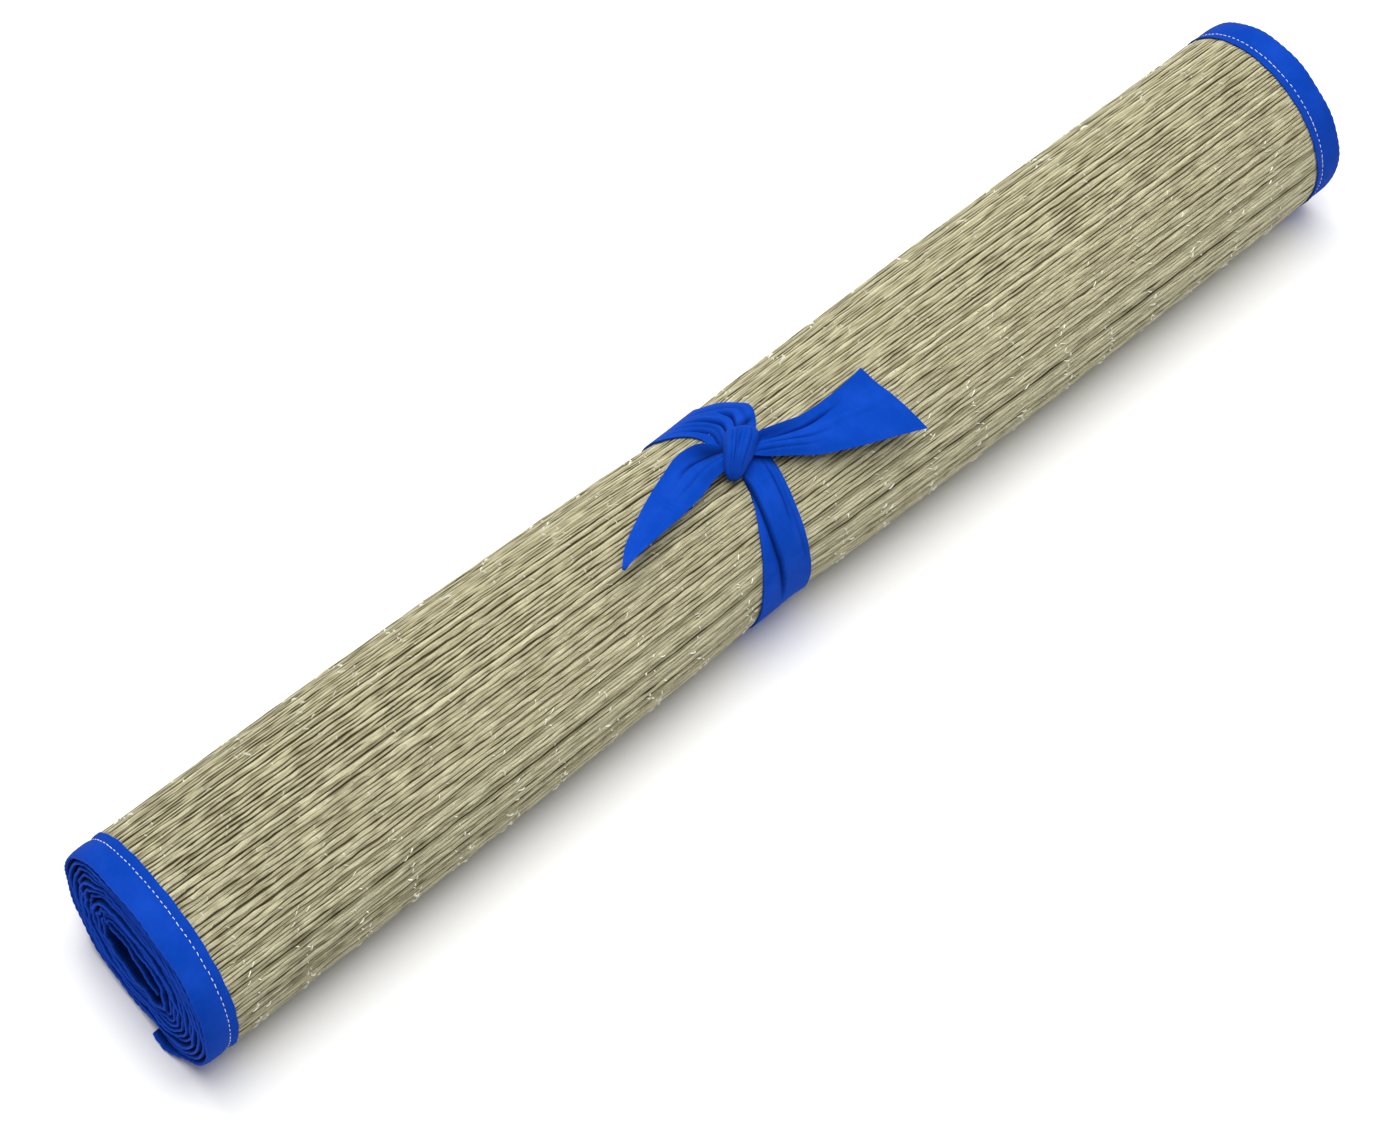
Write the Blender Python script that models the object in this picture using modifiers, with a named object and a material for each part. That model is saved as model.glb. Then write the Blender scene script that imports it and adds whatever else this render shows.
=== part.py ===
"""A rolled straw beach mat with a cloth binding on each side edge and a tie round its waist.

Metres, +Z up. The roll lies along X on the plane Z = 0, with its near end at -X.
A place on the mat has two parameters. "across" runs along the roll's axis, from one bound
edge to the other. "wind" is the angle travelled round the roll from the mat's outer edge
inwards. A section angle is measured in the roll's cross-section from +Y towards +Z, so the
top of the roll is at 90 degrees.
"""

import math

import bpy
import numpy as np

COLLECTION = "rolled_straw_mat"
CENTRING = np.array([0.0019, 0.0007, 0.0])  # puts the origin under the middle of the roll

# The wound mat
ROLL_LENGTH = 0.600
NEAR_HALF_HEIGHT = 0.0353
FAR_HALF_HEIGHT = 0.0418
NEAR_EXTRA_WIDTH = 0.0130  # half width less half height, as the near end is squashed
TURN_PITCH = 0.0027
MAT_TURNS = 10.625
LAP_ANGLE = math.radians(255)  # section angle of the mat's outer edge, under the roll
SETTLING = 0.0030  # how far the roll sinks into its own flat spot
LAP_RAMP = math.radians(14)  # stretch in which a layer climbs onto the outer edge

# The waist that the tie pulls in
WAIST_X = -0.014
WAIST_REACH = 0.106
WAIST_DEPTH = 0.056  # share of the half height
TIE_ROOM = 0.0016  # height of the mat above the floor where the tie passes under it

# How far each end leans: x gained per unit of y and of height
NEAR_SLANT = (0.075, 0.084)
FAR_SLANT = (0.027, -0.022)
SLANT_HEIGHT = 0.0376

# The layers, from the middle surface of the sheet outwards
PACK_HALF = 0.0010  # straw between two legs of the binding
STRAW_THICKNESS = 0.0019
PRESSED_SHARE = 0.3158  # the straw is pressed to 0.6 mm inside the binding
BINDING_CLOTH = 0.0004
BINDING_OFFSET = PACK_HALF - BINDING_CLOTH / 2
BINDING_WIDTH = 0.0138
BINDING_OVERHANG = math.radians(3)  # the binding runs past the mat's outer edge
STRAW_INSET = 0.0025  # from the fold of the binding to the cut ends of the straw

# The tie
TIE_CLOTH = 0.0010
TIE_GAP = 0.0003
TIE_OFFSET = STRAW_THICKNESS / 2 + TIE_GAP + TIE_CLOTH / 2
TIE_ZONE = (-0.045, 0.015)  # the mat is straight between these places, under the tie

# Stations round the roll, in degrees
OUTER_STEP = 11.25
INNER_STEP = 22.5
FLAT_STATIONS = (4, 8, 334, 342, 346)  # extra ones on the flat spot

STRAW_COLOUR = (0.50, 0.46, 0.30, 1.0)
BLUE_COLOUR = (0.012, 0.065, 0.55, 1.0)


def clear_scene():
    for item in list(bpy.data.objects):
        bpy.data.objects.remove(item, do_unlink=True)


def make_collection(name):
    collection = bpy.data.collections.new(name)
    bpy.context.scene.collection.children.link(collection)
    return collection


def make_material(name, colour, roughness):
    material = bpy.data.materials.new(name)
    material.use_nodes = True
    shader = material.node_tree.nodes["Principled BSDF"]
    shader.inputs["Base Color"].default_value = colour
    shader.inputs["Roughness"].default_value = roughness
    shader.inputs["Metallic"].default_value = 0.0
    material.diffuse_color = colour
    return material


def waist_share(across):
    """1 in the middle of the waist and 0 well away from it."""
    return np.exp(-(((across - WAIST_X) / WAIST_REACH) ** 2))


def layer_point(across, angle, depth):
    """(y, z) on an oval layer at this depth below the roll's outer face, before it settles."""
    share = across / ROLL_LENGTH + 0.5
    half_height = NEAR_HALF_HEIGHT + (FAR_HALF_HEIGHT - NEAR_HALF_HEIGHT) * share
    narrowing = 1 - WAIST_DEPTH * waist_share(across)
    reach = narrowing * half_height - depth
    extra_width = narrowing * NEAR_EXTRA_WIDTH * (1 - share)
    side = np.cos(angle)
    y = reach * side + extra_width * side * (1.5 - 0.5 * side**2)
    z = half_height - SETTLING + reach * np.sin(angle)
    return y, z


def outer_depth(angle):
    """Depth of the outermost layer's middle at a section angle, with a ramp at the lap."""
    wind = np.mod(LAP_ANGLE + BINDING_OVERHANG - angle, 2 * math.pi) - BINDING_OVERHANG
    left = 2 * math.pi - BINDING_OVERHANG - wind
    ramp = np.clip(left / LAP_RAMP, 0, 1)
    return PACK_HALF + TURN_PITCH * wind / (2 * math.pi) * ramp


def settling_lift(across, angle):
    """How far the floor pushes up every layer that lies over this section angle."""
    lowest = PACK_HALF + TIE_ROOM * waist_share(across)
    return np.maximum(0, lowest - layer_point(across, angle, outer_depth(angle))[1])


def with_slant(across, y, z):
    """The point (across, y, z) after the leaning ends have shifted it along the axis."""
    share = across / ROLL_LENGTH + 0.5
    near = NEAR_SLANT[0] * y + NEAR_SLANT[1] * (z - SLANT_HEIGHT)
    far = FAR_SLANT[0] * y + FAR_SLANT[1] * (z - SLANT_HEIGHT)
    x = across + (1 - share) * near + share * far
    return np.stack([x, y, z], axis=-1) + CENTRING


def offset_points(across, y, z, offsets):
    """Moves a grid of layer points outwards, square to its lines round the roll."""
    run = np.gradient(y, axis=0)
    rise = np.gradient(z, axis=0)
    length = np.hypot(run, rise)
    return with_slant(across, y - offsets * rise / length, z + offsets * run / length)


def sheet_points(winds, across, offsets):
    """Points of the wound mat's middle surface, moved outwards by each column's offset."""
    wind = winds[:, None]
    across = across[None, :] + 0 * wind
    angle = LAP_ANGLE - wind
    y, z = layer_point(across, angle, PACK_HALF + TURN_PITCH * wind / (2 * math.pi))
    z = z + settling_lift(across, angle)
    return offset_points(across, y, z, offsets[None, :])


def envelope_points(angles, across, offsets):
    """Points of a band on the roll's outermost layers, for a grid of places across."""
    zone = [np.full_like(angles, place) for place in TIE_ZONE]
    sides = []
    for place in zone:
        y, z = layer_point(place, angles, outer_depth(angles))
        sides.append((y, z + settling_lift(place, angles)))
    share = (across - TIE_ZONE[0]) / (TIE_ZONE[1] - TIE_ZONE[0])
    y = sides[0][0][:, None] * (1 - share) + sides[1][0][:, None] * share
    z = sides[0][1][:, None] * (1 - share) + sides[1][1][:, None] * share
    return offset_points(across, y, z, offsets)


def wind_stations(first):
    """Winding angles from the outer edge to the core, closer together on the outer turn."""
    outer = np.arange(first, 360, OUTER_STEP)
    inner = np.arange(360, MAT_TURNS * 360 + 1, INNER_STEP)
    return np.radians(np.unique(np.concatenate([outer, inner, FLAT_STATIONS])))


def grid_object(name, points, collection, ring=False):
    """A mesh of one quad for each cell of a grid of points; a ring joins its last row to its first."""
    rows, columns = points.shape[:2]
    index = np.arange(rows * columns).reshape(rows, columns)
    after = np.roll(index, -1, axis=0) if ring else index[1:]
    before = index if ring else index[:-1]
    corners = (before[:, :-1], before[:, 1:], after[:, 1:], after[:, :-1])
    faces = np.stack(corners, axis=-1).reshape(-1, 4)
    mesh = bpy.data.meshes.new(name)
    mesh.from_pydata(points.reshape(-1, 3).tolist(), [], faces.tolist())
    mesh.update()
    item = bpy.data.objects.new(name, mesh)
    collection.objects.link(item)
    return item


def add_thickness(item, thickness, group=None):
    modifier = item.modifiers.new("Cloth thickness", "SOLIDIFY")
    modifier.thickness = thickness
    modifier.offset = 0
    modifier.use_even_offset = True
    if group is not None:
        modifier.vertex_group = group.name
        modifier.thickness_vertex_group = 0
    return modifier


def shade(item):
    item.data.shade_smooth()
    item.data.set_sharp_from_angle(angle=math.radians(40))


def make_mat(collection, material):
    """The straw sheet: one wound solid, pressed thin where the bindings grip it."""
    edge = ROLL_LENGTH / 2
    grip = BINDING_WIDTH + 0.0006
    shoulder = BINDING_WIDTH + 0.0036
    lines = np.array([
        -edge + STRAW_INSET, -edge + grip, -edge + shoulder,
        -0.150, TIE_ZONE[0], TIE_ZONE[1], 0.110,
        edge - shoulder, edge - grip, edge - STRAW_INSET,
    ])
    winds = wind_stations(0)
    mat = grid_object("straw_mat", sheet_points(winds, lines, 0 * lines), collection)
    weights = mat.vertex_groups.new(name="straw thickness")
    pressed = {0, 1, len(lines) - 2, len(lines) - 1}
    for column in range(len(lines)):
        members = list(range(column, len(winds) * len(lines), len(lines)))
        weights.add(members, PRESSED_SHARE if column in pressed else 1.0, "REPLACE")
    add_thickness(mat, STRAW_THICKNESS, weights)
    shade(mat)
    mat.data.materials.append(material)
    return mat


def make_binding(name, side, collection, material):
    """A tape folded over the mat's edge and wound with it. side is -1 near and 1 far."""
    fold_corner = 0.0009
    # distance from the fold, and place from the inner leg (-1) to the outer leg (1)
    profile = np.array([
        (BINDING_WIDTH, -1.0),
        (fold_corner, -1.0),
        (0.0003, 0.0),
        (fold_corner, 1.0),
        (BINDING_WIDTH, 1.0),
    ])
    across = side * (ROLL_LENGTH / 2 - profile[:, 0])
    winds = np.concatenate([[-BINDING_OVERHANG], wind_stations(0)])
    points = sheet_points(winds, across, BINDING_OFFSET * profile[:, 1])
    binding = grid_object(name, points, collection)
    add_thickness(binding, BINDING_CLOTH)
    shade(binding)
    binding.data.materials.append(material)
    return binding


# The tie's course round the roll: section angle in degrees, middle across, width
TIE_COURSE = (
    (95, -0.0010, 0.0130),
    (110, -0.0020, 0.0145),
    (130, -0.0065, 0.0180),
    (150, -0.0098, 0.0215),
    (172, -0.0120, 0.0245),
    (200, -0.0125, 0.0265),
    (250, -0.0105, 0.0275),
    (300, -0.0065, 0.0285),
    (350, -0.0035, 0.0290),
    (395, -0.0025, 0.0290),
    (420, 0.0005, 0.0270),
    (436, 0.0015, 0.0200),
    (455, -0.0010, 0.0130),
)
# Across the band: place from edge (-1) to edge (1), height of its long fold
TIE_PROFILE = ((-1.0, 0.0), (-0.45, 0.0003), (0.25, 0.0012), (0.50, 0.0002), (1.0, 0.0))
TIE_FOLD_END = 215  # section angle, in degrees, where the long fold lies flat again

# Tails: middle line x, y, z, half width, rise and lead of the +Y edge over the other
LEFT_TAIL = (
    (-0.0040, 0.0010, 0.0755, 0.0035, 0.0000, 0.0000),
    (-0.0120, 0.0030, 0.0745, 0.0062, -0.0010, 0.0000),
    (-0.0290, 0.0016, 0.0742, 0.0086, -0.0040, 0.0000),
    (-0.0500, -0.0045, 0.0758, 0.0060, -0.0025, 0.0000),
    (-0.0660, -0.0108, 0.0778, 0.0030, -0.0010, 0.0000),
    (-0.0745, -0.0155, 0.0792, 0.0006, 0.0000, 0.0000),
)
RIGHT_TAIL = (
    (-0.0020, -0.0030, 0.0765, 0.0035, 0.0000, 0.0000),
    (0.0080, -0.0075, 0.0758, 0.0058, 0.0010, 0.0000),
    (0.0230, -0.0148, 0.0743, 0.0086, 0.0040, -0.0010),
    (0.0420, -0.0203, 0.0744, 0.0122, 0.0080, -0.0050),
    (0.0582, -0.0236, 0.0755, 0.0155, 0.0110, -0.0114),
)
TAIL_STEPS = 11
TAIL_PLACES = (-1.0, -0.5, 0.0, 0.5, 1.0)
TAIL_CREASE = 0.0010
# Lumps of the knot: middle x, y, z, then length, width and height, and its turn in degrees
KNOT_LUMPS = {
    "knot": (-0.0037, -0.0026, 0.0775, 0.0150, 0.0215, 0.0127, -42),
    "gathered cloth": (0.0075, 0.0090, 0.0753, 0.0105, 0.0150, 0.0075, 25),
}
CAGE_SHARE = 1.25  # a smoothed cage shrinks by this much


def smooth_values(places, rows):
    """Reads each later column of a table at new values of its first, on a smooth curve."""
    knots = rows[:, 0]
    values = rows[:, 1:]
    slopes = np.gradient(values, knots, axis=0)
    cell = np.clip(np.searchsorted(knots, places, side="right") - 1, 0, len(knots) - 2)
    width = (knots[cell + 1] - knots[cell])[:, None]
    u = (places - knots[cell])[:, None] / width
    start = (2 * u**3 - 3 * u**2 + 1) * values[cell] + (u**3 - 2 * u**2 + u) * width * slopes[cell]
    end = (3 * u**2 - 2 * u**3) * values[cell + 1] + (u**3 - u**2) * width * slopes[cell + 1]
    return start + end


def tie_band(collection):
    """The closed loop of the tie, lying on the roll's waist."""
    course = np.array(TIE_COURSE)
    first = course[0, 0]
    winds = np.degrees(wind_stations(0))
    turned = np.degrees(LAP_ANGLE) - winds[winds < 359.9]
    angles = np.sort(np.mod(turned - first, 360) + first)[::-1]
    read = smooth_values(angles, course)
    profile = np.array(TIE_PROFILE)
    across = read[:, :1] + read[:, 1:] / 2 * profile[:, 0]
    folded = (angles < TIE_FOLD_END)[:, None]
    offsets = TIE_OFFSET + np.where(folded, profile[:, 1], 0)
    points = envelope_points(np.radians(angles), across, offsets)
    band = grid_object("tie", points, collection, ring=True)
    add_thickness(band, TIE_CLOTH)
    return band


def tie_tail(name, rows, crease, collection):
    """One loose tail: a strip along its middle line with a soft fold down its length."""
    table = np.array(rows)
    reached = np.concatenate([[0], np.cumsum(np.linalg.norm(np.diff(table[:, :3], axis=0), axis=1))])
    steps = np.linspace(0, reached[-1], TAIL_STEPS)
    read = smooth_values(steps, np.column_stack([reached, table]))
    middle, half_width, rise, lead = read[:, :3], read[:, 3:4], read[:, 4:5], read[:, 5:6]
    run = np.gradient(middle[:, :2], axis=0)
    run /= np.linalg.norm(run, axis=1)[:, None]
    sideways = np.stack([-run[:, 1], run[:, 0]], axis=1)
    sideways *= np.where(sideways[:, 1:] < 0, -1, 1)
    place = np.array(TAIL_PLACES)
    x = middle[:, :1] + (half_width * sideways[:, :1] + lead / 2) * place
    y = middle[:, 1:2] + half_width * sideways[:, 1:] * place
    fold = crease * np.cos(place * math.pi) * np.minimum(1, half_width / 0.006)
    z = middle[:, 2:] + rise / 2 * place + fold
    tail = grid_object(name, np.stack([x, y, z], axis=-1) + CENTRING, collection)
    add_thickness(tail, TIE_CLOTH)
    return tail


def knot_lump(name, lump, collection):
    """One rounded lump of the knot, from a coarse cage."""
    middle = np.array(lump[:3]) + CENTRING
    bpy.ops.mesh.primitive_cube_add(size=CAGE_SHARE, location=middle, scale=lump[3:6])
    item = bpy.context.object
    item.name = name
    bpy.ops.object.transform_apply(location=False, rotation=False, scale=True)
    item.rotation_euler.z = math.radians(lump[6])
    rounding = item.modifiers.new("Rounding", "SUBSURF")
    rounding.levels = 2
    rounding.render_levels = 2
    for home in list(item.users_collection):
        home.objects.unlink(item)
    collection.objects.link(item)
    return item


def make_tie(collection, helpers, material):
    """Band, knot and both tails joined into the one strip of cloth that they are."""
    tie = tie_band(collection)
    pieces = [knot_lump(name, lump, helpers) for name, lump in KNOT_LUMPS.items()]
    pieces.append(tie_tail("left tail", LEFT_TAIL, TAIL_CREASE, helpers))
    pieces.append(tie_tail("right tail", RIGHT_TAIL, -TAIL_CREASE, helpers))
    for piece in pieces:
        piece.hide_render = True
        piece.display_type = "WIRE"
        join = tie.modifiers.new("Join " + piece.name, "BOOLEAN")
        join.operation = "UNION"
        join.solver = "EXACT"
        join.object = piece
    shade(tie)
    tie.data.materials.append(material)
    return tie


def main():
    clear_scene()
    parts = make_collection(COLLECTION)
    helpers = make_collection("joined pieces")
    straw = make_material("straw", STRAW_COLOUR, 0.75)
    make_mat(parts, straw)
    for name, side in (("near_binding", -1), ("far_binding", 1)):
        make_binding(name, side, parts, make_material(name + " cloth", BLUE_COLOUR, 0.85))
    make_tie(parts, helpers, make_material("tie cloth", BLUE_COLOUR, 0.8))


main()
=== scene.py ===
"""Finish of a rolled straw beach mat: its straws, threads, bindings, stitches and tie.

Metres, +Z up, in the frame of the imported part. The roll lies along X, near end at -X.
A place on the mat has two parameters. "across" runs along the roll's axis, from one bound
edge to the other. "wind" is the angle travelled round the roll from the mat's outer edge
inwards. A section angle runs in the roll's cross-section from +Y towards +Z.
"""

import math

import bpy
import numpy as np
from bpy.props import FloatProperty, FloatVectorProperty, PointerProperty
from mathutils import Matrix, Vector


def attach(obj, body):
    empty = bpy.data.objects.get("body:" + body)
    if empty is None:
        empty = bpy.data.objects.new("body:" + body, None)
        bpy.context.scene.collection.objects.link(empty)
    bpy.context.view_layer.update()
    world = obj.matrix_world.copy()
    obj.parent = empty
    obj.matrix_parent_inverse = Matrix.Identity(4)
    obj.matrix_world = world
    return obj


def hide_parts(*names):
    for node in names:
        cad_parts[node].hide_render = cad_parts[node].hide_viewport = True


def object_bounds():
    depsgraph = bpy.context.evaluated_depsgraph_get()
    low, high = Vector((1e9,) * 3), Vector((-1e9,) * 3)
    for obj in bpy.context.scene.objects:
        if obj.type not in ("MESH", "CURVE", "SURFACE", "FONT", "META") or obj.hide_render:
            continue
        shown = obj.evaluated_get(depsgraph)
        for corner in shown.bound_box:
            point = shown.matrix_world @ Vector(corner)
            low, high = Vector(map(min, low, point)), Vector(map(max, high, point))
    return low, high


bl_info = {
    "name": "Rolled straw mat",
    "version": (1, 0, 0),
    "blender": (4, 5, 0),
    "location": "View3D > Sidebar > Straw mat",
    "description": "Straws, threads, bindings, stitches and tie of a rolled straw mat",
    "category": "Add Mesh",
}

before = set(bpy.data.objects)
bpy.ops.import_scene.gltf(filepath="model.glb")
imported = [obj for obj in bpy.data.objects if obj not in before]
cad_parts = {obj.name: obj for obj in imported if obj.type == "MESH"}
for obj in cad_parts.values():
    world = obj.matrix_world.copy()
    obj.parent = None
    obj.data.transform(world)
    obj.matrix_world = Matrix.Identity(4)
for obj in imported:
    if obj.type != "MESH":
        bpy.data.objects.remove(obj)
CAD_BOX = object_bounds()

# The wound mat, as in the part's source
CENTRING = np.array([0.0019, 0.0007, 0.0])
ROLL_LENGTH = 0.600
NEAR_HALF_HEIGHT = 0.0353
FAR_HALF_HEIGHT = 0.0418
NEAR_EXTRA_WIDTH = 0.0130
TURN_PITCH = 0.0027
LAP_ANGLE = math.radians(255)
SETTLING = 0.0030
LAP_RAMP = math.radians(14)
WAIST_X = -0.014
WAIST_REACH = 0.106
WAIST_DEPTH = 0.056
TIE_ROOM = 0.0016
CINCH_REACH, CINCH_DEPTH = 0.024, 0.030  # the straws give way right under the tie
PRESSED_BELOW = 0.0002  # height under which straws and threads are pressed flat by the floor
NEAR_SLANT = (0.075, 0.084)
FAR_SLANT = (0.027, -0.022)
SLANT_HEIGHT = 0.0376
PACK_HALF = 0.0010
BINDING_OVERHANG = math.radians(3)
TURN = 2 * math.pi
ANGLE_STEP = 0.004  # between the points that give a layer's slope

# The mat's inner end: wind where it leaves the spiral, further wind of its bent length,
# and the line it lies on, in shares of the hollow's half width and half height
FLAP_WIND = TURN * 10.60
FLAP_LENGTH = 2.2
FLAP_LINE = (1.15, 0.70, -0.80, -0.30)
MAT_WINDS = FLAP_WIND + FLAP_LENGTH
# How far the hollow's underside sags and its upper side rises, at the near end and far end
CORE_SAG = (0.0090, 0.0020)
CORE_RISE = (0.0030, 0.0005)


# Shape of the roll


def waist_share(across):
    """1 in the middle of the waist and 0 well away from it: a bell curve."""
    return np.exp(-(((across - WAIST_X) / WAIST_REACH) ** 2))


def layer_point(across, angle, depth):
    """(y, z) on an oval layer at this depth below the roll's outer face, before it settles.

    A circle whose radius grows from the near end to the far end, widened near the near end
    by a term in the cosine and its cube, which keeps its diagonals full.
    """
    share = across / ROLL_LENGTH + 0.5
    half_height = NEAR_HALF_HEIGHT + (FAR_HALF_HEIGHT - NEAR_HALF_HEIGHT) * share
    cinch = CINCH_DEPTH * np.exp(-(((across - WAIST_X) / CINCH_REACH) ** 2))
    narrowing = 1 - WAIST_DEPTH * waist_share(across) - cinch
    reach = narrowing * half_height - depth
    extra_width = narrowing * NEAR_EXTRA_WIDTH * (1 - share)
    side = np.cos(angle)
    y = reach * side + extra_width * side * (1.5 - 0.5 * side**2)
    z = half_height - SETTLING + reach * np.sin(angle)
    return y, z


def outer_depth(angle):
    """Depth of the outermost layer's middle: one pitch a turn, with a ramp at the lap."""
    wind = np.mod(LAP_ANGLE + BINDING_OVERHANG - angle, TURN) - BINDING_OVERHANG
    left = TURN - BINDING_OVERHANG - wind
    ramp = np.clip(left / LAP_RAMP, 0, 1)
    return PACK_HALF + TURN_PITCH * wind / TURN * ramp


def settling_lift(across, angle):
    """How far the floor pushes up every layer that lies over this section angle."""
    lowest = PACK_HALF + TIE_ROOM * waist_share(across)
    return np.maximum(0, lowest - layer_point(across, angle, outer_depth(angle))[1])


def with_slant(across, y, z):
    """The point after the leaning ends have shifted it along the axis."""
    share = across / ROLL_LENGTH + 0.5
    near = NEAR_SLANT[0] * y + NEAR_SLANT[1] * (z - SLANT_HEIGHT)
    far = FAR_SLANT[0] * y + FAR_SLANT[1] * (z - SLANT_HEIGHT)
    return np.stack([across + (1 - share) * near + share * far, y, z], axis=-1) + CENTRING


def outside(path, at, step, across, offset):
    """A point this far outside a layer: its own place plus the offset along the normal.

    path gives the layer's (y, z) at a wind or a section angle. The normal is the tangent
    round the roll, found from two points a step to each side, turned by a quarter. The
    step's sign is the one that makes the section angle grow.
    """
    y, z = path(at)
    y_on, z_on = path(at + step)
    y_back, z_back = path(at - step)
    run, rise = y_on - y_back, z_on - z_back
    length = np.hypot(run, rise)
    return with_slant(across, y + offset * rise / length, z - offset * run / length)


def envelope_point(across, angle, offset):
    """A point this far outside the middle of the roll's outermost layer."""

    def path(at):
        """(y, z) of that middle at a section angle."""
        y, z = layer_point(across, at, outer_depth(at))
        return y, z + settling_lift(across, at)

    return outside(path, angle, ANGLE_STEP, across, offset)


def opened(across, angle, depth):
    """How far the inner turns are pushed up and down to open the squashed end's hollow.

    The shift grows evenly with depth. Downwards it is full under the hollow and none
    above it, upwards the other way round.
    """
    share = across / ROLL_LENGTH + 0.5
    inside = np.clip((depth - 0.0030) / (TURN_PITCH * FLAP_WIND / TURN - 0.0030), 0, 1)
    sag = CORE_SAG[0] + (CORE_SAG[1] - CORE_SAG[0]) * share
    rise = CORE_RISE[0] + (CORE_RISE[1] - CORE_RISE[0]) * share
    up = (1 + np.sin(angle)) / 2
    return inside * (rise * up - sag * (1 - up))


def mat_middle(across, wind):
    """(y, z) of the mat's middle surface at a wind, with its inner end bent over.

    The last length of the mat leaves the spiral at the hollow's +Y end, turns back and
    lies slanting across the hollow. Its path is a blend of the oval and a straight line,
    both in shares of the hollow's half width and half height.
    """
    angle = LAP_ANGLE - wind
    depth = PACK_HALF + TURN_PITCH * wind / TURN
    y, z = layer_point(across, angle, depth)
    z = z + opened(across, angle, depth) + settling_lift(across, angle)
    deepest = PACK_HALF + TURN_PITCH * FLAP_WIND / TURN
    upright = 0 * angle + math.pi / 2
    half_width = layer_point(across, 0 * angle, deepest)[0]
    top = layer_point(across, upright, deepest)[1] + opened(across, upright, deepest)
    bottom = layer_point(across, -upright, deepest)[1] + opened(across, -upright, deepest)
    share = np.clip((wind - FLAP_WIND) / FLAP_LENGTH, 0, 1)
    onto = step_up(share, 0.0, 0.55)
    rise = FLAP_LINE[1] + (FLAP_LINE[3] - FLAP_LINE[1]) * share**1.5 + 0.08 * np.sin(6 * share)
    line_y = half_width * (FLAP_LINE[0] + (FLAP_LINE[2] - FLAP_LINE[0]) * share)
    line_z = (top + bottom) / 2 + (top - bottom) / 2 * rise
    return y + (line_y - y) * onto, z + (line_z - z) * onto


def mat_point(across, wind, offset):
    """A point of the wound mat, this far outside its middle surface."""
    return outside(lambda at: mat_middle(across, at), wind, -ANGLE_STEP, across, offset)


def turn_length(across=0.0):
    """Length round the outer turn for each of many winds: sums of short chords."""
    winds = np.linspace(0, TURN * 1.1, 800)
    points = mat_point(across + 0 * winds, winds, 0 * winds)
    steps = np.linalg.norm(np.diff(points, axis=0), axis=1)
    return winds, np.concatenate([[0], np.cumsum(steps)])


# Helpers for shapes


def smooth_values(places, rows):
    """Reads each later column of a table at new values of its first, on a cubic curve."""
    knots = rows[:, 0]
    values = rows[:, 1:]
    slopes = np.gradient(values, knots, axis=0)
    cell = np.clip(np.searchsorted(knots, places, side="right") - 1, 0, len(knots) - 2)
    width = (knots[cell + 1] - knots[cell])[:, None]
    u = (places - knots[cell])[:, None] / width
    start = (2 * u**3 - 3 * u**2 + 1) * values[cell] + (u**3 - 2 * u**2 + u) * width * slopes[cell]
    end = (3 * u**2 - 2 * u**3) * values[cell + 1] + (u**3 - u**2) * width * slopes[cell + 1]
    return start + end


def step_up(value, low, high):
    """0 below low, 1 above high, and a smooth step between."""
    u = np.clip((value - low) / (high - low), 0, 1)
    return u * u * (3 - 2 * u)


def off_floor(points):
    """The points with the lowest ones pressed up: a sixth of their depth under a height."""
    under = np.minimum(points[..., 2:] - PRESSED_BELOW, 0)
    return np.concatenate([points[..., :2], points[..., 2:] - 5 / 6 * under], axis=-1)


def wander(seed, along, waves, rows=1):
    """Uneven curves: for each row, a sum of sines of these wavelengths with random phases."""
    phases = np.random.default_rng(seed).uniform(0, TURN, (rows, 1, len(waves)))
    angles = TURN * np.atleast_2d(along)[..., None] / np.array(waves) + phases
    return np.sin(angles).sum(axis=-1) / math.sqrt(len(waves))


def grid_faces(rows, columns, ring_columns=False):
    """Quads between neighbours of a grid, also from its last column to its first in a ring."""
    index = np.arange(rows * columns).reshape(rows, columns)
    after = np.roll(index, -1, axis=1) if ring_columns else index[:, 1:]
    before = index if ring_columns else index[:, :-1]
    corners = (before[:-1], after[:-1], after[1:], before[1:])
    return np.stack(corners, axis=-1).reshape(-1, 4)


def grid_normals(points):
    """Unit normals of a grid of points: the cross product of its two gradients."""
    normals = np.cross(np.gradient(points, axis=0), np.gradient(points, axis=1))
    return normals / np.maximum(np.linalg.norm(normals, axis=-1, keepdims=True), 1e-12)


def cloth_shell(points, thickness, uv, tone):
    """A closed sheet: the grid moved half the thickness to each side, with a rim between."""
    rows, columns = points.shape[:2]
    shift = grid_normals(points) * thickness / 2
    face = grid_faces(rows, columns)
    index = np.arange(rows * columns).reshape(rows, columns)
    border = np.concatenate([index[0, :-1], index[:-1, -1], index[-1, :0:-1], index[:0:-1, 0]])
    after = np.roll(border, -1)
    count = rows * columns
    rim = np.stack([after, border, border + count, after + count], axis=-1)
    quads = np.concatenate([face, face[:, ::-1] + count, rim])
    vertices = np.concatenate([(points + shift).reshape(-1, 3), (points - shift).reshape(-1, 3)])
    tone = np.broadcast_to(tone, (rows, columns)).ravel()
    return vertices, [quads], np.concatenate([uv.reshape(-1, 2)] * 2), np.tile(tone, 2)


def tube_shells(points, uv, tone):
    """Closed tubes from an array of (tube, station, place round it), capped at both ends."""
    tubes, stations, around = points.shape[:3]
    one = grid_faces(stations, around, ring_columns=True)
    starts = np.arange(tubes)[:, None, None] * stations * around
    quads = (one[None] + starts).reshape(-1, 4)
    cap = np.arange(around)
    first = cap[::-1][None] + starts[:, 0]
    last = cap[None] + (stations - 1) * around + starts[:, 0]
    groups = [quads, np.concatenate([first, last])]
    tone = np.broadcast_to(tone, points.shape[:3]).ravel()
    return points.reshape(-1, 3), groups, uv.reshape(-1, 2), tone


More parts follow.
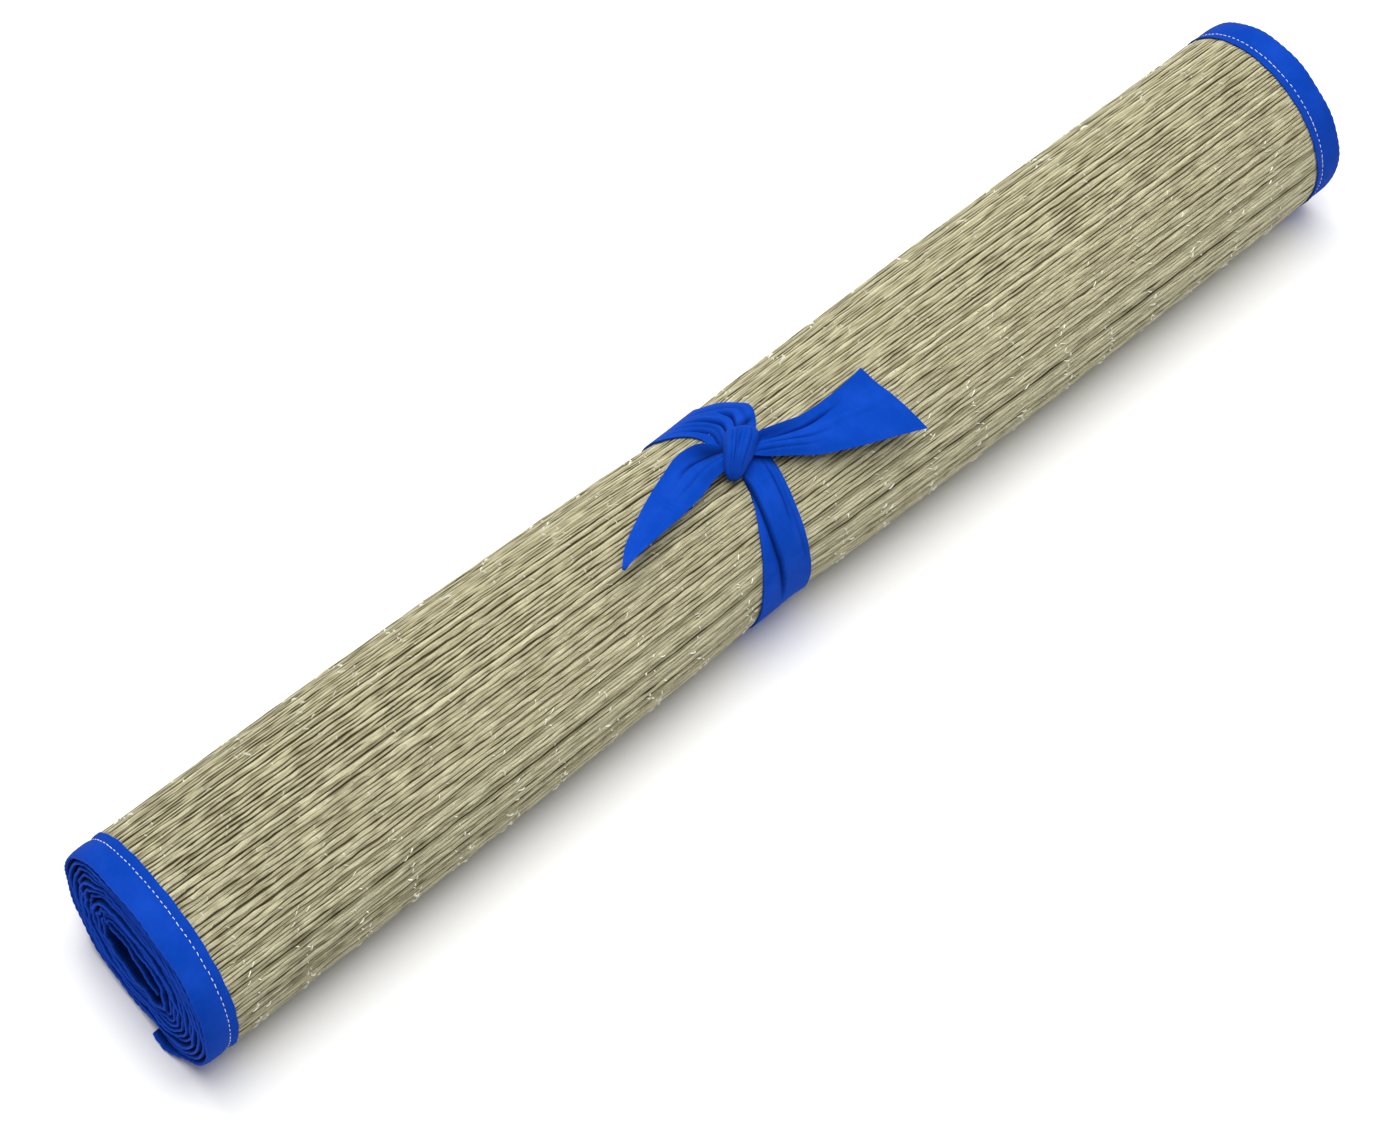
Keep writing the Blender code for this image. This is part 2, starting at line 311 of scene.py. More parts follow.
def put_together(shells):
    """One set of vertices, faces, UV places and tones from several."""
    starts = np.cumsum([0] + [len(shell[0]) for shell in shells])
    faces = [group + start for shell, start in zip(shells, starts) for group in shell[1]]
    vertices, uv, tone = (np.concatenate([shell[k] for shell in shells]) for k in (0, 2, 3))
    return vertices, faces, uv, tone


def enclosed_volume(vertices, faces):
    """Sum of signed tetrahedra from the origin: above zero if the faces point outwards."""
    total = 0.0
    for group in faces:
        first = vertices[group[:, 0]]
        for k in range(1, group.shape[1] - 1):
            second, third = vertices[group[:, k]], vertices[group[:, k + 1]]
            total += np.einsum("ij,ij->", first, np.cross(second, third))
    return total / 6


def facing_out(shell):
    """The shell with its faces turned outwards."""
    vertices, faces, uv, tone = shell
    if enclosed_volume(vertices, faces) < 0:
        faces = [group[:, ::-1] for group in faces]
    return vertices, faces, uv, tone


def make_piece(name, shell, material):
    """A finished piece at the origin from vertices, faces, UV places in metres and tones."""
    vertices, faces, uv, tone = facing_out(shell)
    mesh = bpy.data.meshes.new(name)
    mesh.from_pydata(vertices.tolist(), [], [face for group in faces for face in group.tolist()])
    corners = np.zeros(len(mesh.loops), dtype=np.int32)
    mesh.loops.foreach_get("vertex_index", corners)
    layer = mesh.uv_layers.new(name="cloth metres")
    layer.data.foreach_set("uv", uv[corners].astype(np.float32).ravel())
    attribute = mesh.attributes.new("tone", "FLOAT", "POINT")
    attribute.data.foreach_set("value", tone.astype(np.float32))
    mesh.shade_smooth()
    mesh.set_sharp_from_angle(angle=math.radians(50))
    mesh.materials.append(material)
    mesh.update()
    piece = bpy.data.objects.new(name, mesh)
    bpy.context.scene.collection.objects.link(piece)
    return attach(piece, "root")


# Materials


def new_group(name, inputs, outputs):
    """An empty shader node group with named sockets; returns it with its two end nodes."""
    group = bpy.data.node_groups.new(name, "ShaderNodeTree")
    for label, kind, value in inputs:
        socket = group.interface.new_socket(label, in_out="INPUT", socket_type=kind)
        if value is not None:
            socket.default_value = value
    for label, kind in outputs:
        group.interface.new_socket(label, in_out="OUTPUT", socket_type=kind)
    return group, group.nodes.new("NodeGroupInput"), group.nodes.new("NodeGroupOutput")


def calc(tree, operation, first, second=None, third=None):
    """A Math node; each operand is a number or another node's output."""
    node = tree.nodes.new("ShaderNodeMath")
    node.operation = operation
    for socket, operand in zip(node.inputs, (first, second, third)):
        if isinstance(operand, (int, float)):
            socket.default_value = operand
        elif operand is not None:
            tree.links.new(operand, socket)
    return node.outputs[0]


def vector_calc(tree, operation, first, second):
    """A Vector Math node; the second operand is a vector or another node's output."""
    node = tree.nodes.new("ShaderNodeVectorMath")
    node.operation = operation
    tree.links.new(first, node.inputs[0])
    if isinstance(second, bpy.types.NodeSocket):
        tree.links.new(second, node.inputs[1])
    else:
        node.inputs[1].default_value = second
    return node.outputs[0]


def blend(tree, factor, first, second, kind="RGBA"):
    """A Mix node of two colours or values."""
    node = tree.nodes.new("ShaderNodeMix")
    node.data_type = kind
    word = "Color" if kind == "RGBA" else "Float"
    sockets = {socket.identifier: socket for socket in node.inputs}
    for key, operand in (("Factor_Float", factor), ("A_" + word, first), ("B_" + word, second)):
        if isinstance(operand, bpy.types.NodeSocket):
            tree.links.new(operand, sockets[key])
        else:
            sockets[key].default_value = operand
    return next(socket for socket in node.outputs if socket.identifier == "Result_" + word)


def opaque(colour, share=1.0, white=0.0):
    """A colour for a shader: this share of it plus some white, with full opacity."""
    return tuple(min(1.0, share * c + white) for c in colour) + (1.0,)


def noise(tree, vector, scale, detail=2.0, roughness=0.5):
    """A Noise Texture's value on this vector."""
    node = tree.nodes.new("ShaderNodeTexNoise")
    node.inputs["Scale"].default_value = scale
    node.inputs["Detail"].default_value = detail
    node.inputs["Roughness"].default_value = roughness
    tree.links.new(vector, node.inputs["Vector"])
    return node.outputs["Fac"]


def spread(tree, value, low, high):
    """A value between low and high stretched to run from 0 to 1."""
    node = tree.nodes.new("ShaderNodeMapRange")
    node.inputs["From Min"].default_value = low
    node.inputs["From Max"].default_value = high
    tree.links.new(value, node.inputs["Value"])
    return node.outputs["Result"]


def plain_weave_group():
    """Over and under threads: crowns of two crossing sets of threads, swapped like a chequer."""
    group, start, end = new_group(
        "plain weave",
        [("Place", "NodeSocketVector", None), ("Thread Pitch", "NodeSocketFloat", 0.0005)],
        [("Height", "NodeSocketFloat"), ("Slub", "NodeSocketFloat"), ("Mottle", "NodeSocketFloat")],
    )
    place, pitch = start.outputs["Place"], start.outputs["Thread Pitch"]
    part = group.nodes.new("ShaderNodeSeparateXYZ")
    group.links.new(place, part.inputs[0])
    crowns, slow = [], []
    for axis in (0, 1):
        turns = calc(group, "DIVIDE", part.outputs[axis], pitch)
        sine = calc(group, "SINE", calc(group, "MULTIPLY", turns, math.pi))
        crowns.append(calc(group, "ABSOLUTE", sine))
        slow.append(calc(group, "SINE", calc(group, "MULTIPLY", turns, math.pi / 2)))
    over = spread(group, calc(group, "MULTIPLY", *slow), -0.35, 0.35)
    height = blend(group, over, crowns[0], crowns[1], kind="FLOAT")
    group.links.new(height, end.inputs["Height"])
    stretched = vector_calc(group, "MULTIPLY", place, (1.0, 12.0, 1.0))
    group.links.new(noise(group, stretched, 160.0), end.inputs["Slub"])
    group.links.new(noise(group, place, 55.0, 3.0, 0.6), end.inputs["Mottle"])
    return group


# Marks on a straw: name, how often they change along it and across it, detail, and the
# noise values that are read as 0 and as 1
STRAW_MARKS = (
    ("Streak", 20.0, 1100.0, 3.0, 0.30, 0.70),
    ("Blotch", 38.0, 120.0, 3.0, 0.32, 0.68),
    ("Nick", 150.0, 1300.0, 1.0, 0.68, 0.76),
    ("Crinkle", 130.0, 700.0, 2.0, 0.00, 1.00),
    # Painted highlight: pale dashes along the straws that stand in for broken glints
    ("Dash", 80.0, 420.0, 2.5, 0.34, 0.66),
)


def straw_fibre_group():
    """Marks on a straw: noise stretched along it by several shares, shifted by its tone."""
    group, start, end = new_group(
        "straw fibres",
        [("Place", "NodeSocketVector", None), ("Tone", "NodeSocketFloat", 0.5)],
        [(mark[0], "NodeSocketFloat") for mark in STRAW_MARKS],
    )
    shift = group.nodes.new("ShaderNodeCombineXYZ")
    group.links.new(calc(group, "MULTIPLY", start.outputs["Tone"], 37.0), shift.inputs["Z"])
    for name, along, across, detail, low, high in STRAW_MARKS:
        stretched = vector_calc(group, "MULTIPLY", start.outputs["Place"], (along, across, 1.0))
        shifted = vector_calc(group, "ADD", stretched, shift.outputs[0])
        value = noise(group, shifted, 1.0, detail)
        group.links.new(spread(group, value, low, high), end.inputs[name])
    return group


def weave_group():
    """The plain weave group, made at its first use."""
    return bpy.data.node_groups.get("plain weave") or plain_weave_group()


def new_material(name, roughness):
    """A Principled material with its UV node; returns the tree, its shader and the UV output."""
    material = bpy.data.materials.new(name)
    material.use_nodes = True
    tree = material.node_tree
    shader = tree.nodes["Principled BSDF"]
    shader.inputs["Roughness"].default_value = roughness
    place = tree.nodes.new("ShaderNodeUVMap")
    place.uv_map = "cloth metres"
    return material, tree, shader, place.outputs["UV"]


def mesh_tone(tree):
    """The tone that the mesh holds at each of its points."""
    node = tree.nodes.new("ShaderNodeAttribute")
    node.attribute_name = "tone"
    return node.outputs["Fac"]


def place_group(tree, group, **values):
    """A group node with its inputs linked or set by name, spaces written as underscores."""
    node = tree.nodes.new("ShaderNodeGroup")
    node.node_tree = group
    for key, value in values.items():
        socket = node.inputs[key.replace("_", " ")]
        if isinstance(value, bpy.types.NodeSocket):
            tree.links.new(value, socket)
        else:
            socket.default_value = value
    return node


def bump(tree, height, distance, shader, strength=1.0):
    """Relief of this depth on the shader's normal."""
    node = tree.nodes.new("ShaderNodeBump")
    node.inputs["Distance"].default_value = distance
    node.inputs["Strength"].default_value = strength
    tree.links.new(height, node.inputs["Height"])
    tree.links.new(node.outputs["Normal"], shader.inputs["Normal"])


def straw_material(settings, fibres):
    """Flattened straw: dull green to pale straw by tone, streaked, with painted highlight and
    shade, satin on its crowns.
    """
    material, tree, shader, place = new_material("flattened straw", 0.5)
    tone = mesh_tone(tree)
    marks = place_group(tree, fibres, Place=place, Tone=tone)
    dull, pale, warm, deep = (opaque(colour) for colour in (
        settings.dull_colour, settings.pale_colour, settings.warm_colour, settings.gap_shade_colour))
    lightness = calc(tree, "MULTIPLY_ADD", marks.outputs["Streak"], 0.45, tone)
    lightness = calc(tree, "MULTIPLY_ADD", marks.outputs["Blotch"], 0.30, lightness)
    # Painted highlight: the pale dashes lighten the straw
    lightness = calc(tree, "MULTIPLY_ADD", marks.outputs["Dash"], 0.7, lightness)
    body = blend(tree, spread(tree, lightness, 0.50, 1.55), dull, pale)
    warmth = calc(tree, "MULTIPLY", marks.outputs["Blotch"], 0.5)
    body = blend(tree, warmth, body, warm)
    # Painted shade: low tones, at the straws' sides and on the sheet below them, blend to the dark
    # gap colour
    dark = blend(tree, spread(tree, tone, -0.45, 0.05), deep, body)
    nicked = calc(tree, "MULTIPLY", marks.outputs["Nick"], 0.60)
    tree.links.new(blend(tree, nicked, dark, deep), shader.inputs["Base Color"])
    gloss = calc(tree, "MULTIPLY_ADD", marks.outputs["Streak"], -0.15, 0.58)
    tree.links.new(gloss, shader.inputs["Roughness"])
    relief = calc(tree, "MULTIPLY_ADD", marks.outputs["Crinkle"], 2.6, marks.outputs["Streak"])
    bump(tree, relief, 0.00014, shader)
    return material


# Shares of the cloth's colour: painted highlight on fold crests, painted shade in deep folds,
# painted shade between threads, and paler threads. White is mixed into the painted highlight
# and paler threads.
HIGHLIGHT_SHARE, FOLD_SHADE, THREAD_GAP_SHADE, PALER = 1.5, 0.26, 0.55, 1.25
HIGHLIGHT_WHITE, PALER_WHITE = 0.014, 0.006


def cloth_material(name, colour, pitch):
    """Plain woven cotton: threads in relief with painted shade between them, slubs, faint mottling.

    A painted highlight on fold crests where the mesh's tone is above zero, and painted shade
    deep in folds where it is below.
    """
    material, tree, shader, place = new_material(name, 0.82)
    threads = place_group(tree, weave_group(), Place=place, Thread_Pitch=pitch)
    lighter = opaque(colour, PALER, PALER_WHITE)
    # Painted shade between threads: the weave's low places are darker
    between_threads = calc(tree, "MULTIPLY", calc(tree, "SUBTRACT", 1.0, threads.outputs["Height"]), 0.35)
    shaded = blend(tree, between_threads, opaque(colour), opaque(colour, THREAD_GAP_SHADE))
    patch = calc(tree, "MULTIPLY", spread(tree, threads.outputs["Mottle"], 0.42, 0.70), 0.55)
    patched = blend(tree, patch, shaded, lighter)
    slub = calc(tree, "MULTIPLY", spread(tree, threads.outputs["Slub"], 0.55, 0.75), 0.35)
    woven = blend(tree, slub, patched, lighter)
    tone = mesh_tone(tree)
    # Painted highlight where the tone is above zero and painted shade where it is below
    painted_highlight, painted_shade = spread(tree, tone, 0.0, 1.0), spread(tree, tone, 0.0, -1.0)
    body = blend(tree, painted_highlight, woven, opaque(colour, HIGHLIGHT_SHARE, HIGHLIGHT_WHITE))
    tree.links.new(blend(tree, painted_shade, body, opaque(colour, FOLD_SHADE)), shader.inputs["Base Color"])
    height = calc(tree, "MULTIPLY_ADD", threads.outputs["Mottle"], 1.2, threads.outputs["Height"])
    bump(tree, height, 0.00006, shader, 0.8)
    shader.inputs["Sheen Weight"].default_value = 0.03
    shader.inputs["Sheen Roughness"].default_value = 0.5
    shader.inputs["Sheen Tint"].default_value = (0.35, 0.55, 1.0, 1.0)
    shader.inputs["Specular IOR Level"].default_value = 0.03
    return material


def thread_material(name, colour):
    """Twisted thread: fine slanted twist lines over a plain colour."""
    material, tree, shader, place = new_material(name, 0.7)
    turned = tree.nodes.new("ShaderNodeMapping")
    turned.inputs["Rotation"].default_value = (0, 0, math.radians(35))
    tree.links.new(place, turned.inputs["Vector"])
    twist = place_group(tree, weave_group(), Place=turned.outputs[0], Thread_Pitch=0.00018)
    body = blend(tree, twist.outputs["Mottle"], opaque(colour, 0.72), opaque(colour))
    tree.links.new(body, shader.inputs["Base Color"])
    bump(tree, twist.outputs["Height"], 0.00003, shader)
    return material


def floor_material(colour):
    """A matt pale floor with hardly any variation."""
    material = bpy.data.materials.new("pale floor")
    material.use_nodes = True
    tree = material.node_tree
    shader = tree.nodes["Principled BSDF"]
    place = tree.nodes.new("ShaderNodeTexCoord")
    grain = noise(tree, place.outputs["Object"], 30.0)
    body = blend(tree, grain, opaque(colour, 0.99), opaque(colour))
    tree.links.new(body, shader.inputs["Base Color"])
    shader.inputs["Roughness"].default_value = 0.9
    shader.inputs["Specular IOR Level"].default_value = 0.1
    return material


# Settings


class StrawSettings(bpy.types.PropertyGroup):
    straw_width: FloatProperty(
        name="Straw width", description="Middle width of a flattened straw",
        default=0.00150, min=0.001, max=0.006, unit="LENGTH", precision=5)
    straw_height: FloatProperty(
        name="Straw height", description="Thickness of a flattened straw",
        default=0.0011, min=0.0004, max=0.0014, unit="LENGTH", precision=5)
    row_spacing: FloatProperty(
        name="Thread spacing", description="Distance between rows of holding thread",
        default=0.0245, min=0.01, max=0.1, unit="LENGTH", precision=4)
    thread_thickness: FloatProperty(
        name="Thread thickness", description="Thickness of the holding thread",
        default=0.00066, min=0.0001, max=0.001, unit="LENGTH", precision=5)
    dull_colour: FloatVectorProperty(
        name="Dull straw", description="Colour of the greyest straws",
        default=(0.29, 0.275, 0.135), subtype="COLOR", min=0, max=1)
    pale_colour: FloatVectorProperty(
        name="Pale straw", description="Colour of the palest straws",
        default=(0.95, 0.915, 0.63), subtype="COLOR", min=0, max=1)
    warm_colour: FloatVectorProperty(
        name="Warm straw", description="Colour of the tan blotches",
        default=(0.58, 0.47, 0.24), subtype="COLOR", min=0, max=1)
    # Painted shade: this dark colour stands in for the shade between and under the straws; nicks
    # take it too
    gap_shade_colour: FloatVectorProperty(
        name="Gap", description="Colour between and under the straws",
        default=(0.060, 0.045, 0.012), subtype="COLOR", min=0, max=1)
    thread_colour: FloatVectorProperty(
        name="Holding thread", description="Colour of the holding thread",
        default=(1.00, 0.98, 0.82), subtype="COLOR", min=0, max=1)


class BindingSettings(bpy.types.PropertyGroup):
    cloth_thickness: FloatProperty(
        name="Cloth thickness", description="Thickness of the binding tape",
        default=0.0004, min=0.0002, max=0.0006, unit="LENGTH", precision=5)
    stitch_pitch: FloatProperty(
        name="Stitch pitch", description="Distance from one stitch to the next",
        default=0.0026, min=0.001, max=0.006, unit="LENGTH", precision=5)
    stitch_length: FloatProperty(
        name="Stitch length", description="Length of thread that shows in one stitch",
        default=0.0020, min=0.0005, max=0.005, unit="LENGTH", precision=5)
    stitch_thickness: FloatProperty(
        name="Stitch thickness", description="Thickness of the stitching thread",
        default=0.00029, min=0.0001, max=0.001, unit="LENGTH", precision=5)
    colour: FloatVectorProperty(
        name="Tape", description="Colour of the binding tape",
        default=(0.002, 0.045, 0.37), subtype="COLOR", min=0, max=1)
    thread_colour: FloatVectorProperty(
        name="Stitching", description="Colour of the stitching thread",
        default=(0.93, 1.00, 0.84), subtype="COLOR", min=0, max=1)


class TieSettings(bpy.types.PropertyGroup):
    cloth_thickness: FloatProperty(
        name="Cloth thickness", description="Thickness of the tie's strip",
        default=0.0008, min=0.0004, max=0.0010, unit="LENGTH", precision=5)
    pleat_depth: FloatProperty(
        name="Pleat depth", description="Depth of the pleats beside the knot",
        default=0.0018, min=0.0, max=0.0025, unit="LENGTH", precision=5)
    colour: FloatVectorProperty(
        name="Cloth", description="Colour of the tie",
        default=(0.002, 0.050, 0.40), subtype="COLOR", min=0, max=1)


class StageSettings(bpy.types.PropertyGroup):
    floor_colour: FloatVectorProperty(
        name="Floor", description="Colour of the floor",
        default=(0.92, 0.92, 0.92), subtype="COLOR", min=0, max=1)
    key_power: FloatProperty(
        name="Key light", description="Power of the main soft light",
        default=14.0, min=0, unit="POWER")
    top_power: FloatProperty(
        name="Top light", description="Power of the wide light overhead",
        default=60.0, min=0, unit="POWER")
    sky: FloatProperty(
        name="Sky", description="Strength of the light all round", default=0.30, min=0)


# Straw sheet


def unlike(values):
    """Random values made less like their neighbours: each less half of both beside it."""
    return (values - (np.roll(values, 1) + np.roll(values, -1)) / 2) / math.sqrt(1.5)


class Straws:
    """Where every straw of the outer turn lies: its wind, offset, height and tilt along it.

    Widths and tones vary at random, and tones also in twos at the roll's sides. Each straw's
    line, height and tilt are uneven curves along it, sums of sines of a few wavelengths.
    The mat is wound a little askew, so the straws lean round the roll, though not beside
    the lap.
    """

    COVER = TURN + 0.35  # the outer turn and a little under the lap
    REST_OFFSET = 0.00034  # middle of the straws outside the sheet's middle surface
    LEAN = 0.55  # wind in radians that a straw loses over a metre of its length
    WIDTH_SPREAD = 0.16  # spread of the widths' logarithms
    HEIGHTS = (0.72, 1.10)  # least and greatest height, as shares of the setting
    TONES = (0.50, 0.26, 0.30)  # middle tone, spread among neighbours, spread in twos
    STEP = 0.00007  # spread of the heights at which neighbours lie
    # Uneven curves: seed, size as a share of the half width or in metres, wavelengths
    LONG_SWAY = (1, 0.20, (0.31, 0.17, 0.083))
    SHORT_SWAY = (7, 0.17, (0.031, 0.0173, 0.0115))
    WAIST = (2, 0.18, (0.047, 0.023, 0.0134))
    LIFT = (3, 0.00008, (0.053, 0.0261, 0.0147))
    TILT = (4, 0.00013, (0.061, 0.0283, 0.0152))
    DRIFT = (8, 0.24, (0.043, 0.0193, 0.0101))

    def __init__(self, settings):
        """Draws every straw's own width, height, tone and lift."""
        winds, lengths = turn_length()
        total = np.interp(self.COVER, winds, lengths)
        self.count = int(total / settings.straw_width)
        rng = np.random.default_rng(11)
        widths = rng.lognormal(0, self.WIDTH_SPREAD, self.count)
        ends = np.concatenate([[0], np.cumsum(widths)])
        edges = np.interp(ends / ends[-1] * total, lengths, winds)
        self.middle = (edges[1:] + edges[:-1]) / 2
        self.half = np.diff(edges) / 2
        self.height = settings.straw_height * rng.uniform(*self.HEIGHTS, self.count)
        shades = rng.normal(0, 1, self.count)
        grouped = self.low_share()[:, 0, 0] * (shades + np.roll(shades, 1)) / math.sqrt(2)
        middle, apart, in_twos = self.TONES
        self.tone = np.clip(middle + apart * unlike(shades) + in_twos * grouped, 0.0, 1.15)
        self.lift = self.STEP * unlike(rng.normal(0, 1, self.count))
        self.lean = self.LEAN * step_up(self.middle, 0, 1.0) * step_up(TURN - self.middle, 0, 1.0)

    def low_share(self):
        """0 for the straws on top of the roll, rising to 1 for those at its sides and under it."""
        return step_up(-np.sin(LAP_ANGLE - self.middle), -0.9, 0.1)[:, None, None]

    def uneven(self, curve, line):
        """One of the uneven curves for every straw, at these places along it."""
        seed, size, waves = curve
        return size * wander(seed, line, waves, self.count)

    def read(self, across):
        """Wind, half width, offset, half height and tilt for each straw at these places."""
        line = np.broadcast_to(across, (self.count, len(across)))
        edge = ROLL_LENGTH / 2 - np.abs(line)
        grip = step_up(edge, 0.0128, 0.0150)
        sway = self.uneven(self.LONG_SWAY, line) + self.uneven(self.SHORT_SWAY, line)
        common = 0.007 * np.sin(TURN * line / 0.37 + 3 * self.middle[:, None])
        wind = self.middle[:, None] + self.half[:, None] * sway * grip + common * grip
        wind = wind - self.lean[:, None] * line
        half = self.half[:, None] * (1.04 + self.uneven(self.WAIST, line))
        lift = (self.lift[:, None] + self.uneven(self.LIFT, line)) * grip
        offset = self.REST_OFFSET * (0.25 + 0.75 * grip) + lift
        height = self.height[:, None] / 2 * (0.40 + 0.60 * grip)
        tilt = self.uneven(self.TILT, line) * grip
        return wind, half, offset, height, tilt


# Place round a straw's section, as shares of its half width and half height, and how much
# painted shade its colour holds there: above zero at the sides and underside, where shade
# falls between the straws, below zero for painted highlight on the crown. The crown is
# flattened, with a crease beside its middle, where painted shade is added by its depth.
STRAW_SECTION = np.array([
    (1.00, -0.25, 0.95), (0.84, 0.40, 0.42), (0.50, 0.88, -0.05), (0.06, 0.88, 0.10),
    (-0.36, 1.00, -0.10), (-0.82, 0.46, 0.42), (-1.00, -0.25, 0.95), (0.00, -0.80, 0.80),
])
CREASE = 3  # the row of the section that holds the crease
ROUGH_END = (-0.28, -0.10)  # places across, over which the near end's unevenness fades
# Painted shade at a straw's sides is raised by these shares at the near end and at the roll's
# sides, where more painted shade darkens the straw's underside and the rest is painted a
# little paler
NEAR_END_SHADE, LOW_SIDE_SHADE, UNDERSIDE_SHADE, LOW_SIDE_PAINTED_LIGHT = 0.55, 0.45, 0.45, 0.06
STRAW_PIECES = ("straws_first", "straws_second", "straws_third")


def straw_stations():
    """Places along a straw: close together at the bindings, even between."""
    edge = ROLL_LENGTH / 2
    ends = edge - np.array([0.0105, 0.0126, 0.0138, 0.0150, 0.0176])
    even = np.linspace(0.021 - edge, edge - 0.021, 148)
    return np.concatenate([-ends, even, ends[::-1]])


def build_straws(settings, material):
    """Each straw is its flattened section carried along its own uneven line.

    They are made in three pieces, one for each third of the outer turn. Their tone drifts
    along them, as an uneven curve. Painted shade darkens their sides, more so near the near
    end and at the roll's sides, where it darkens their undersides too and the rest is painted
    a little paler.
    """
    straws = Straws(settings)
    across = straw_stations()
    wind, half, offset, height, tilt = straws.read(across)
    rng = np.random.default_rng(5)
    crease = rng.uniform(0.0, 0.34, (straws.count, 1, 1))
    flip = np.where(rng.uniform(size=straws.count) < 0.5, -1, 1)[:, None, None]
    sideways, up, dark = STRAW_SECTION.T
    at_crease = np.arange(len(up)) == CREASE
    crowned = up - crease * at_crease
    winds = wind[..., None] + half[..., None] * sideways * flip
    offsets = offset[..., None] + height[..., None] * crowned + tilt[..., None] * sideways * flip
    places = np.broadcast_to(across[None, :, None], winds.shape)
    points = off_floor(mat_point(places, winds, offsets))
    points = np.where(flip[..., None] > 0, points, points[:, :, ::-1])
    row = np.arange(straws.count)[:, None, None]
    around = np.broadcast_to(0.0031 * row + 0.0004 * np.arange(len(up)), winds.shape)
    uv = np.stack([places + 0.13 * row, around], axis=-1)
    rough = 1 - step_up(across, *ROUGH_END)
    drift = straws.uneven(straws.DRIFT, np.broadcast_to(across, wind.shape)) * (1 + 0.7 * rough)
    low = straws.low_share()
    outward = np.sign(np.cos(LAP_ANGLE - straws.middle))[:, None, None]
    # Painted shade on the downward side of each straw at the roll's sides
    underside = low * np.clip(0.2 + sideways * flip * outward, 0, 1)
    # Painted shade at the straws' sides and creases, raised near the near end and at the roll's
    # sides, and a painted lightening of the rest at the roll's sides
    dark = dark * (1 + NEAR_END_SHADE * rough[:, None] + LOW_SIDE_SHADE * low)
    dark = dark + UNDERSIDE_SHADE * underside - LOW_SIDE_PAINTED_LIGHT * low + 0.5 * crease * at_crease
    tone = np.clip(straws.tone[:, None] + drift, 0.10, 1.20)[..., None] - dark
    pieces = []
    third = straws.count // 3 + 1
    for k, name in enumerate(STRAW_PIECES):
        part = slice(k * third, (k + 1) * third)
        shell = tube_shells(points[part], uv[part], tone[part])
        pieces.append(make_piece(name, shell, material))
    return pieces


def build_sheet(material):
    """The wound sheet under the straws: the mat's spiral carried along the roll.

    Its places along the roll are closer together at the waist, where it is drawn in.
    """
    winds = np.radians(np.unique(np.concatenate([np.arange(0.5, 370, 2.5),
                                                 np.arange(370, math.degrees(MAT_WINDS), 6)])))
    edge = ROLL_LENGTH / 2 - 0.0065
    waist = WAIST_X + np.array([-2.6, -1.8, -1.2, -0.6, 0.0, 0.6, 1.2, 1.8, 2.6]) * CINCH_REACH
    across = np.concatenate([[-edge, -edge + 0.0080, -edge + 0.0096],
                             np.linspace(-0.265, -0.120, 4), waist, np.linspace(0.090, 0.265, 4),
                             [edge - 0.0096, edge - 0.0080, edge]])
    place, wind = np.broadcast_to(across, (len(winds), len(across))), winds[:, None]
    grip = step_up(ROLL_LENGTH / 2 - np.abs(place), 0.0140, 0.0162)
    points = mat_point(place, wind + 0 * place, -0.00034 * grip)
    uv = np.stack([place, 0 * place + 0.035 * wind], axis=-1)
    # Tone -0.32 paints the sheet in the dark gap colour: painted shade that shows between the
    # straws
    shell = cloth_shell(points, 0.00036 + 0.00069 * grip[..., None], uv, -0.32)
    return make_piece("mat_sheet", shell, material)


def build_threads(settings, material):
    """Short bridges of thread over single straws, in rows: an arch from gap to gap."""
    straws = Straws(settings)
    thickness = settings.thread_thickness
    edge = ROLL_LENGTH / 2 - 0.024
    rows = np.arange(-edge, edge, settings.row_spacing)
    rng = np.random.default_rng(21)
    straw, row = np.nonzero(rng.uniform(size=(straws.count, len(rows))) < 0.55)
    wind, half, offset, height = straws.read(rows)[:4]
    pick = (straw, row)
    count = len(straw)
    along = np.linspace(-1, 1, 5)
    arch = np.sqrt(np.clip(1 - (0.96 * along) ** 4, 0, 1))
    reach = rng.uniform(0.42, 0.80, (count, 1))
    winds = wind[pick][:, None] + half[pick][:, None] * along * reach
    lift = offset[pick][:, None] + (height[pick][:, None] + 0.4 * thickness) * arch
    slant = rng.normal(0, 0.0007, (count, 1)) * along
    places = rows[row][:, None] + rng.normal(0, 0.0024, (count, 1)) + slant
    turn = np.radians(90 + 120 * np.arange(3))
    full = thickness / 2 * rng.uniform(0.7, 1.25, (count, 1, 1))
    points = off_floor(mat_point(
        places[..., None] + full * np.cos(turn),
        np.broadcast_to(winds[..., None], (count, 5, 3)),
        lift[..., None] + full * np.sin(turn),
    ))
    along_uv = 0.0005 * np.arange(5)[None, :, None] + 0.01 * straw[:, None, None]
    uv = np.stack(np.broadcast_arrays(along_uv, 0.0002 * np.arange(3)), axis=-1)
    return make_piece("holding_threads", tube_shells(points, uv, 0.0), material)


# Bindings

# Round the tape's folded section: distance from its fold, offset from the sheet's middle.
# It is drawn in at the seam, and its cut edge stands off the straws.
TAPE_PROFILE = np.array([
    (0.0138, -0.00076), (0.0120, -0.00074), (0.0103, -0.00056), (0.0086, -0.00074),
    (0.0050, -0.00080), (0.0026, -0.00070), (0.0015, -0.00060), (0.0007, -0.00045),
    (0.0002, -0.00026), (0.0000, 0.00000), (0.0002, 0.00027), (0.0007, 0.00050),
    (0.0015, 0.00068), (0.0026, 0.00082), (0.0050, 0.00094),
    (0.0078, 0.00090), (0.0092, 0.00074), (0.0099, 0.00056), (0.0103, 0.00048),
    (0.0107, 0.00060), (0.0115, 0.00092), (0.0127, 0.00114), (0.0138, 0.00118),
])
